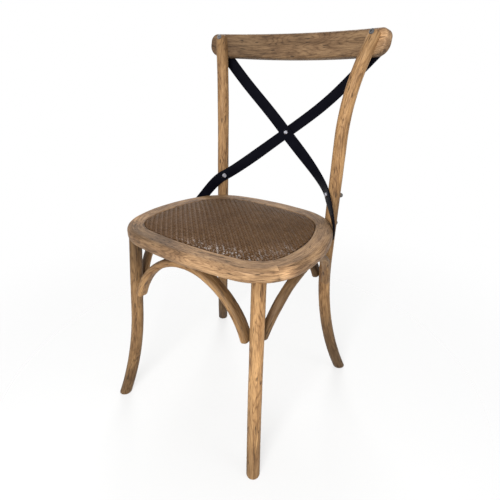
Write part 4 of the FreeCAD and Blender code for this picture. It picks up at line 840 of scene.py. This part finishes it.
def crest_rings(edge=6.0, upper=17.0, lower=26.5):
    """Closed sections: up the front face, down the back one."""
    half = (BOW + THICK / 2) * math.asin(half_length / (BOW + THICK / 2))
    turn = np.linspace(0, np.pi / 2, 14)
    ends = half - lower * (1 - np.sin(turn[1:]))
    ends = np.sort(np.concatenate([ends, half - edge * (1 - np.sin(turn[1::3]))]))
    ends = ends[np.concatenate([[True], np.diff(ends) > 0.05])]
    along = np.concatenate([-ends[::-1], np.linspace(-ends[0], ends[0], 90)[1:-1], ends])[:, None]
    top = HIGH / 2 - ARCH * (1 - np.cos(np.arcsin(along / ARCH)))

    def taken(radius):
        """How far a corner of this radius takes the outline in: r - sqrt(r^2 - past^2)."""
        past = np.clip(np.abs(along) - (half - radius), 0, radius)
        return radius - np.sqrt(radius ** 2 - past ** 2)

    high, low = top - taken(upper), -HIGH / 2 + taken(lower)
    share = (1 - np.cos(np.linspace(0, np.pi, 30))) / 2
    height = low + (high - low) * share

    def from_corner(radius, level, sense):
        """Distance to the outline near a rounded corner, and plain distances elsewhere."""
        x, z = np.abs(along) - (half - radius), (height - level) * sense + radius
        inside = (x > 0) & (z > 0)
        return np.where(inside, radius - np.hypot(x, z), np.minimum(half - np.abs(along), radius - z))

    depth = np.minimum(from_corner(upper, top, 1), from_corner(lower, -HIGH / 2, -1))
    depth = np.clip(depth, 0, edge)
    hold = THICK / 2 - edge + np.sqrt(edge ** 2 - (edge - depth) ** 2)
    out = np.concatenate([THICK / 2 - hold, (THICK / 2 + hold)[:, ::-1]], 1)
    heights = np.concatenate([height, height[:, ::-1]], 1)
    spread = np.broadcast_to(along, heights.shape)
    return wrapped(spread, heights, out), np.stack([heights, out, spread], -1)


rings, grain = crest_rings()
CREST_TONE, CREST_CUT = 0.54, (12, 21, 4100)
# tone spots; the bright one at the right end is a painted highlight
CREST_SPOTS_AND_HIGHLIGHT = [((-160, 230, 840), 85, -0.17), ((40, 235, 840), 60, 0.07), ((222, 205, 850), 20, 0.9),
               ((20, 235, 860), 26, -0.2)]
tone = CREST_TONE + spots(rings, CREST_SPOTS_AND_HIGHLIGHT)
crest = skin("crest_rail_oak", rings[None], grain + CREST_CUT, tone, grey_oak)
take_place(crest, "crest_rail")
print("crest rail is", round(2 * half_length, 1), "mm long")

# %% [markdown]
# ## Woven seat
# The seat is a fine twill of brown fibre strands over a padded board: each strand runs over
# two and under two, and each neighbour is shifted by one, which draws the diagonal ribs. A
# texture would lie flat at a low angle, so the strands are real. All strands of one
# direction are one array: their path over the crowned seat, plus a lift that is the sine of
# the count of crossings. Painted light and shade follow the lift: a strand is lightest where
# it comes up and darkest where it dips. The warp strands are painted lighter and the weft
# darker, as lit and shaded copies of one fibre. Near the front right edge a good quarter of
# the places along the strands carry painted glints, pale and less saturated.

# %% Crown of the seat
SEAT_MIDDLE = np.array([0, -22.5])
outline = along_arcs(WHOLE, 40.5)[:-1, :2]
polar = outline - SEAT_MIDDLE
order = np.argsort(np.arctan2(polar[:, 1], polar[:, 0]))
edge_angle = np.arctan2(polar[order, 1], polar[order, 0])
edge_reach = np.linalg.norm(polar[order], axis=1)


def reach_at(angle):
    """Distance from the seat's middle to the panel's edge, in a direction in plan."""
    return np.interp(angle, edge_angle, edge_reach, period=2 * np.pi)


EDGE_LEVEL, CROWN = 461.5, 11


def crown(x, y):
    """Height of the padded seat: edge + crown (1 - share cubed); share is 0 in the middle, 1 outside."""
    dx, dy = x - SEAT_MIDDLE[0], y - SEAT_MIDDLE[1]
    share = np.clip(np.hypot(dx, dy) / reach_at(np.arctan2(dy, dx)), 0, 1)
    return EDGE_LEVEL + CROWN * (1 - share ** 3), share


print("seat panel is", np.ptp(outline, axis=0).round(1), "mm")


# %% Weave material
def make_weave(name, pale, brown, dark):
    """Fine fibres along each strand and slow patches over the seat; the palest places, the painted
    glints, are less saturated.
    """
    material, tree, shader, _ = new_material(name)
    grain = step(tree, "Attribute", attribute_name="grain").outputs["Vector"]
    tone = step(tree, "Attribute", attribute_name="tone").outputs["Fac"]
    fibre = stretched_noise(tree, grain, (2200, 2200, 60), 3.0, 0.6)
    patch = stretched_noise(tree, step(tree, "TexCoord").outputs["Object"], (26, 26, 26), 3.0)
    mix = calc(tree, "MULTIPLY_ADD", fibre, 0.7, calc(tree, "MULTIPLY_ADD", patch, 0.2, 0.15))
    color = ramp(tree, mix, (0.4, dark), (0.58, brown), (0.78, pale))
    # the paler the tone, the less saturated, which turns the painted glints whitish
    dull = calc(tree, "MAXIMUM", calc(tree, "MULTIPLY_ADD", tone, -0.38, 1.5), 0.2)
    level = step(tree, "HueSaturation", {"Color": color, "Saturation": dull, "Value": tone}).outputs[0]
    fill(tree, shader, {"Base Color": level, "Roughness": limits(tree, fibre, 0, 1, 0.25, 0.5),
                        "Specular IOR Level": 0.12, "Normal": bumped(tree, fibre, 0.5, 0.0003)})
    return material


weave_finish = make_weave("brown_fibre", pale=(0.17, 0.098, 0.05), brown=(0.088, 0.048, 0.024),
                          dark=(0.032, 0.016, 0.008))
# painted shade: the padding's near-black stands for the shade between the strands and at the seam
padding_shade_finish = make_weave("padding_painted_shade", pale=(0.02, 0.012, 0.009), brown=(0.014, 0.009, 0.007),
                          dark=(0.008, 0.005, 0.004))
print("finishes:", weave_finish.name, padding_shade_finish.name)


# %% Strands
PITCH, WIDE, THIN, LIFT, SEAM = 4.03, 3.6, 1.5, 0.8, 1.5
SWAY, SWAY_LENGTH = 0.22, 23    # sideways, and the run over which its phase grows by 1
SUNK, EDGE_DIP, DIP_FROM = 0.6, 1.6, 0.985    # into the padding, down at the seam, and from what share
STATIONS = 192
STRAND_SECTION = np.array([[-0.5, -0.5], [-0.38, 0.2], [0, 0.5], [0.38, 0.2], [0.5, -0.5]])
# painted light and shade: warp strands lighter, weft darker
TWILL_LIT_AND_SHADED = 1.12, 0.88    # warp and weft


def spans(places, across, along):
    """First and last place of the panel's outline on lines at given places."""
    low, high = np.argmin(outline[:, across]), np.argmax(outline[:, across])
    loop = np.roll(outline, -low, 0)
    turn = (high - low) % len(outline)
    one, other = loop[:turn + 1], np.vstack([loop[turn:], loop[:1]])[::-1]
    found = [np.interp(places, half[:, across], half[:, along]) for half in (one, other)]
    return np.minimum(*found), np.maximum(*found)


def painted_glints(x, y, edge, chance):
    """Painted glints: a random quarter of the places near the front right edge, fading on both sides of
    it.
    """
    near = np.exp(-((edge - 0.93) / 0.12) ** 2 - ((x - 80) / 120) ** 2) * (y < -60)
    return near * (chance.random(y.shape) > 0.72)


def add_strands(name, across, sense, seed):
    """All strands of one direction: a height over the crown that goes over two, under two."""
    along = 1 - across
    limit = np.abs(outline[:, across] - SEAT_MIDDLE[across]).max() - 3
    count = int(2 * limit / PITCH)
    places = SEAT_MIDDLE[across] + (np.arange(count) - (count - 1) / 2) * PITCH
    first, last = spans(places, across, along)
    share = np.linspace(0, 1, STATIONS)
    run = first[:, None] + SEAM + (last - first - 2 * SEAM)[:, None] * share
    chance = np.random.default_rng(seed)
    wobble = SWAY * np.sin(run / SWAY_LENGTH + chance.uniform(0, 6.28, (count, 1)))
    line = np.broadcast_to(places[:, None], run.shape) + wobble
    x, y = (line, run) if across == 0 else (run, line)
    height, edge = crown(x, y)
    lift = sense * np.sin(np.pi / 2 * (places[:, None] + run) / PITCH + np.pi / 4)
    lift = LIFT * np.clip(1.5 * lift, -1, 1)
    height = height - SUNK + lift - EDGE_DIP * np.clip((edge - DIP_FROM) / (1 - DIP_FROM), 0, 1)
    side = STRAND_SECTION[:, 0] * WIDE * chance.uniform(0.93, 1.05, (count, 1, 1))
    up = STRAND_SECTION[:, 1] * THIN
    rings = np.empty((*run.shape, 5, 3))
    rings[..., across] = line[..., None] + side
    rings[..., along] = run[..., None]
    rings[..., 2] = height[..., None] + up
    grain = np.stack([np.broadcast_to(side, rings.shape[:3]) + 17 * np.arange(count)[:, None, None],
                      np.broadcast_to(up, rings.shape[:3]), rings[..., along]], -1)
    tone = TWILL_LIT_AND_SHADED[across] * chance.uniform(0.85, 1.15, (count, 1, 1))
    # painted light and shade: lighter where the strand comes up, darker where it dips
    tone = tone * (0.8 + 0.5 * lift[..., None])
    # painted glints near the front right edge
    tone = tone * (1 + 2.3 * painted_glints(x, y, edge, chance)[..., None])
    piece = skin(name, rings, grain, tone, weave_finish, sharp=70)
    take_place(piece, "woven_seat")
    return piece


for name, across, sense, seed in (("weave_warp", 0, 1, 5), ("weave_weft", 1, -1, 6)):
    piece = add_strands(name, across, sense, seed)
    print(name, "has", len(piece.data.polygons) * 2, "triangles")

# %% [markdown]
# Under the strands lies the padding: the same crown, a little lower, closed below. Its
# near-black colour is painted shade: it stands for the shade between the strands and in the
# seam round the edge.


# %% Padding
UNDERSIDE = 459.0


def padding_rings(drop=1.5):
    """Loops round the seat: out along the underside, up the edge and in over the crown."""
    angle = np.linspace(-np.pi, np.pi, 160, endpoint=False)
    share = np.concatenate([[0.03, 0.5, 0.997, 0.997], np.sin(np.linspace(np.pi / 2, 0.03, 26)) * 0.99])
    reach = reach_at(angle) * share[:, None]
    x, y = SEAT_MIDDLE[0] + reach * np.cos(angle), SEAT_MIDDLE[1] + reach * np.sin(angle)
    height = crown(x, y)[0] - drop
    height[:3] = UNDERSIDE
    height[3] = UNDERSIDE + 0.8
    return np.stack([x, y, height], -1)


rings = padding_rings()
padding = skin("seat_padding", rings[None], rings.reshape(-1, 3), 1.0, padding_shade_finish)
take_place(padding, "woven_seat")
print("padding rises to", rings[..., 2].max().round(1), "mm")

# %% [markdown]
# ## Steel straps
# Two flat bars, 28 by 3, cross in the back. Each is screwed to the crest rail's back, bows
# backwards to a rivet at the crossing, runs past the post on the other side, where a bolt
# holds it, and ends on the rim. Between these fixed places a bent bar follows a smooth
# curve: it leaves one place in a known direction, arrives at the next in another, and turns
# its face slowly. That is a Hermite curve, worked out here for whole stretches at once. The
# directions are slopes below the level, measured on the bar's face.

# %% Places that hold a strap
BAR_THICK, BAR_WIDE, CLEAR = 3, 28, 0.5
POST_HEIGHT, POST_BEARING = 515, 221.0
FOOT_HEIGHT, FOOT_BEARING = 448, 27.0
HEAD_INSET, HEAD_RISE, HEAD_SLOPE = 28.2, 14, 44.5    # from the crest's end, from its lower edge
CROSS_BACK, CROSS_DROP, CROSS_LEAN, CROSS_SLOPE = 22.5, 10.3, math.radians(21.2), 39.6
BAR_GAP, POST_TWIST = 3.5, 14    # between the bars' middles at the rivet, and degrees at the post
off_wood = BAR_THICK / 2 + CLEAR
foot_out = bearing(np.array(FOOT_BEARING))
strap_side = square_to(bearing(np.array(POST_BEARING)), post_rod.along)
strap_post = post_rod.at(POST_HEIGHT)[0] + strap_side * (LEG_RADIUS + off_wood)
strap_foot = on_corner(rear_corner, CORNER_R, FOOT_BEARING, -off_wood, FOOT_HEIGHT)
head_turn = math.asin((half_length - HEAD_INSET) / (BOW + THICK))
head_out = np.array([math.sin(head_turn), 0, 0]) + crest_y * math.cos(head_turn)
head_reach = BOW + THICK + off_wood
head_level = crest_z * (HEAD_RISE - HIGH / 2)
strap_head = crest_place + head_out * head_reach - crest_y * BOW + head_level
head_run = np.array([math.cos(head_turn), 0, 0]) - crest_y * math.sin(head_turn)
cross_share = strap_post[0] / (strap_post[0] + strap_head[0])
cross = np.array([0, (strap_post[1] + strap_head[1]) / 2 + CROSS_BACK,
                  strap_post[2] + (strap_head - strap_post)[2] * cross_share - CROSS_DROP])
cross_up = np.array([0, math.sin(CROSS_LEAN), math.cos(CROSS_LEAN)])
cross_normal = np.array([0, -cross_up[2], cross_up[1]])
print("straps cross at", cross.round(1))


# %% Strap course
def descent(outward, up, slope):
    """Unit direction that runs inwards and down at a slope: -outward cos s - up sin s."""
    turn = math.radians(slope)
    return -outward * math.cos(turn) - up * math.sin(turn)


def strap_stations(side):
    """Place, direction, normal and the flat run before and after, from head to foot."""
    here, there = np.array([side, 1, 1]), np.array([-side, 1, 1])
    middle = cross + cross_normal * side * BAR_GAP / 2
    post, foot = strap_post * here, strap_foot * here
    post_normal = unit(strap_side * here)
    flat = square_to(foot - middle, post_normal)
    turn = math.radians(side * POST_TWIST)
    post_along = flat * math.cos(turn) + np.cross(post_normal, flat) * math.sin(turn)
    foot_normal = -foot_out * here
    return [
        (strap_head * there, descent(head_run * there, crest_z, HEAD_SLOPE), -head_out * there, 11, 12),
        (middle, descent(np.array([-side, 0, 0]), cross_up, CROSS_SLOPE), cross_normal, 8, 8),
        (post, post_along, post_normal, 8, 8),
        (foot, square_to(foot - post, foot_normal), foot_normal, 8, 11),
    ]


STRAP_BENDS = 1.38, 0.76, 0.75, 0    # pull of each stretch's ends, as a share of its length


def strap_line(side, steps=24):
    """The bar's middle line and the normals of its face.

    A stretch is a (1 - e) + b e + u p s (1 - s)^2 - v p s^2 (1 - s), with e = s^2 (3 - 2 s), from
    a in direction u to b in direction v, with the pull p.
    """
    stations = strap_stations(side)
    points, normals = [], []
    for (place, along, normal, before, after), following, bend in zip(
            stations, stations[1:] + [None], STRAP_BENDS):
        start = place + along * after
        points += [(place - along * before)[None], place[None], start[None]]
        normals += [np.stack([normal] * 3)]
        if following is None:
            break
        stop = following[0] - following[1] * following[3]
        pull = np.linalg.norm(stop - start) * bend
        s = np.linspace(0, 1, steps)[1:-1, None]
        ease = s * s * (3 - 2 * s)
        points.append(start * (1 - ease) + stop * ease + along * (pull * s * (1 - s) ** 2)
                      - following[1] * (pull * s * s * (1 - s)))
        normals.append(normal * (1 - ease) + following[2] * ease)
    return np.concatenate(points), np.concatenate(normals)


print("strap is", round(np.linalg.norm(np.diff(strap_line(1)[0], axis=0), axis=1).sum()), "mm long")

# %% [markdown]
# The finish is black paint on steel: nearly black with a cold sheen, a fine grain in the
# paint, and faint smudges in its color and gloss. Bolts and screws are bare metal made with
# the same nodes: bright on the straps, dull and dark elsewhere.


# %% Steel finishes
def make_steel(name, color, worn, roughness, metallic, size, shine=0.5):
    """Painted or bare steel: smudges in the color and gloss, and a fine grain in the surface."""
    material, tree, shader, _ = new_material(name)
    place = step(tree, "TexCoord").outputs["Object"]
    smudge = stretched_noise(tree, place, (38, 38, 38), 4.0, 0.6)
    speck = stretched_noise(tree, place, (size, size, size), 2.0)
    base = blend(tree, limits(tree, smudge, 0.4, 0.75), (*color, 1), (*worn, 1))
    gloss = calc(tree, "MULTIPLY_ADD", smudge, 0.25, roughness - 0.12)
    gloss = calc(tree, "MULTIPLY_ADD", speck, 0.1, gloss)
    fill(tree, shader, {"Base Color": base, "Roughness": gloss, "Metallic": metallic,
                        "Specular IOR Level": shine, "Normal": bumped(tree, speck, 0.3, 0.0002)})
    return material


black_steel = make_steel("black_paint", (0.003, 0.003, 0.006), (0.005, 0.005, 0.009), roughness=0.42,
                         metallic=0.0, size=900, shine=0.03)
bolt_steel = make_steel("worn_steel", (0.5, 0.5, 0.55), (0.3, 0.3, 0.33), 0.32, 1.0, 700)
screw_steel = make_steel("dark_steel", (0.13, 0.12, 0.11), (0.05, 0.045, 0.04), 0.42, 1.0, 700)
aged_steel = make_steel("aged_steel", (0.19, 0.19, 0.2), (0.06, 0.055, 0.05), 0.45, 1.0, 700)
print("steel finishes:", black_steel.name, bolt_steel.name, screw_steel.name)

# %% Straps
for side, word in ((1, "right"), (-1, "left")):
    line, normals = strap_line(side)
    section = box_section(BAR_THICK, BAR_WIDE, 0.6, 4)
    rings, grain, _ = carry(line, normals, section, pace=3.5)
    strap = skin(f"cross_strap_{word}_bar", rings[None], grain, 1.0, black_steel, sharp=50)
    take_place(strap, f"cross_strap_{word}")
print("two straps")

# %% [markdown]
# ## Small solids
# Bolts, nuts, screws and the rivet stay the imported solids: they are turned shapes and
# already right. So does the seat board, which shows its veneer only from below, and so do the
# dowels inside the rim's joints. Each gets the finish of its slot, or its own where it shows.


# %% Board and small solids
def make_veneer(name, pale, dark):
    """Plain veneer: fibres along X and slow waves across them."""
    material, tree, shader, _ = new_material(name)
    place = step(tree, "TexCoord").outputs["Object"]
    fibre = stretched_noise(tree, place, (14, 420, 420), 4.0, 0.6)
    broad = stretched_noise(tree, place, (3, 40, 40), 2.0)
    mix = calc(tree, "MULTIPLY_ADD", fibre, 0.6, calc(tree, "MULTIPLY", broad, 0.5))
    fill(tree, shader, {"Base Color": ramp(tree, mix, (0.4, pale), (0.7, dark)), "Roughness": 0.7,
                        "Normal": bumped(tree, fibre, 0.3, 0.0003)})
    return material


SLOTS = {row["node"]: row["material_slot"] for row in frame["record"]["subparts"]}
plywood = make_veneer("plywood", (0.5, 0.35, 0.2), (0.3, 0.18, 0.09))
dowel_wood = make_veneer("dowel_wood", (0.55, 0.4, 0.25), (0.38, 0.25, 0.14))
FINISHES = {"oak": oak, "plywood": plywood, "dowel_wood": dowel_wood, "weave": padding_shade_finish,
            "black_steel": black_steel, "bolt_steel": bolt_steel, "screw_steel": screw_steel}
OWN = {"strap_rivet": bolt_steel, "strap_bolts": bolt_steel, "crest_bolts": aged_steel,
       "crest_nuts": aged_steel, "post_bolts": screw_steel, "strap_nuts": screw_steel}
for name, node in nodes.items():
    node.data.materials.clear()
    node.data.materials.append(OWN.get(name, FINISHES[SLOTS[name]]))
print("solids finished:", sum(not node.hide_render for node in nodes.values()), "still show")
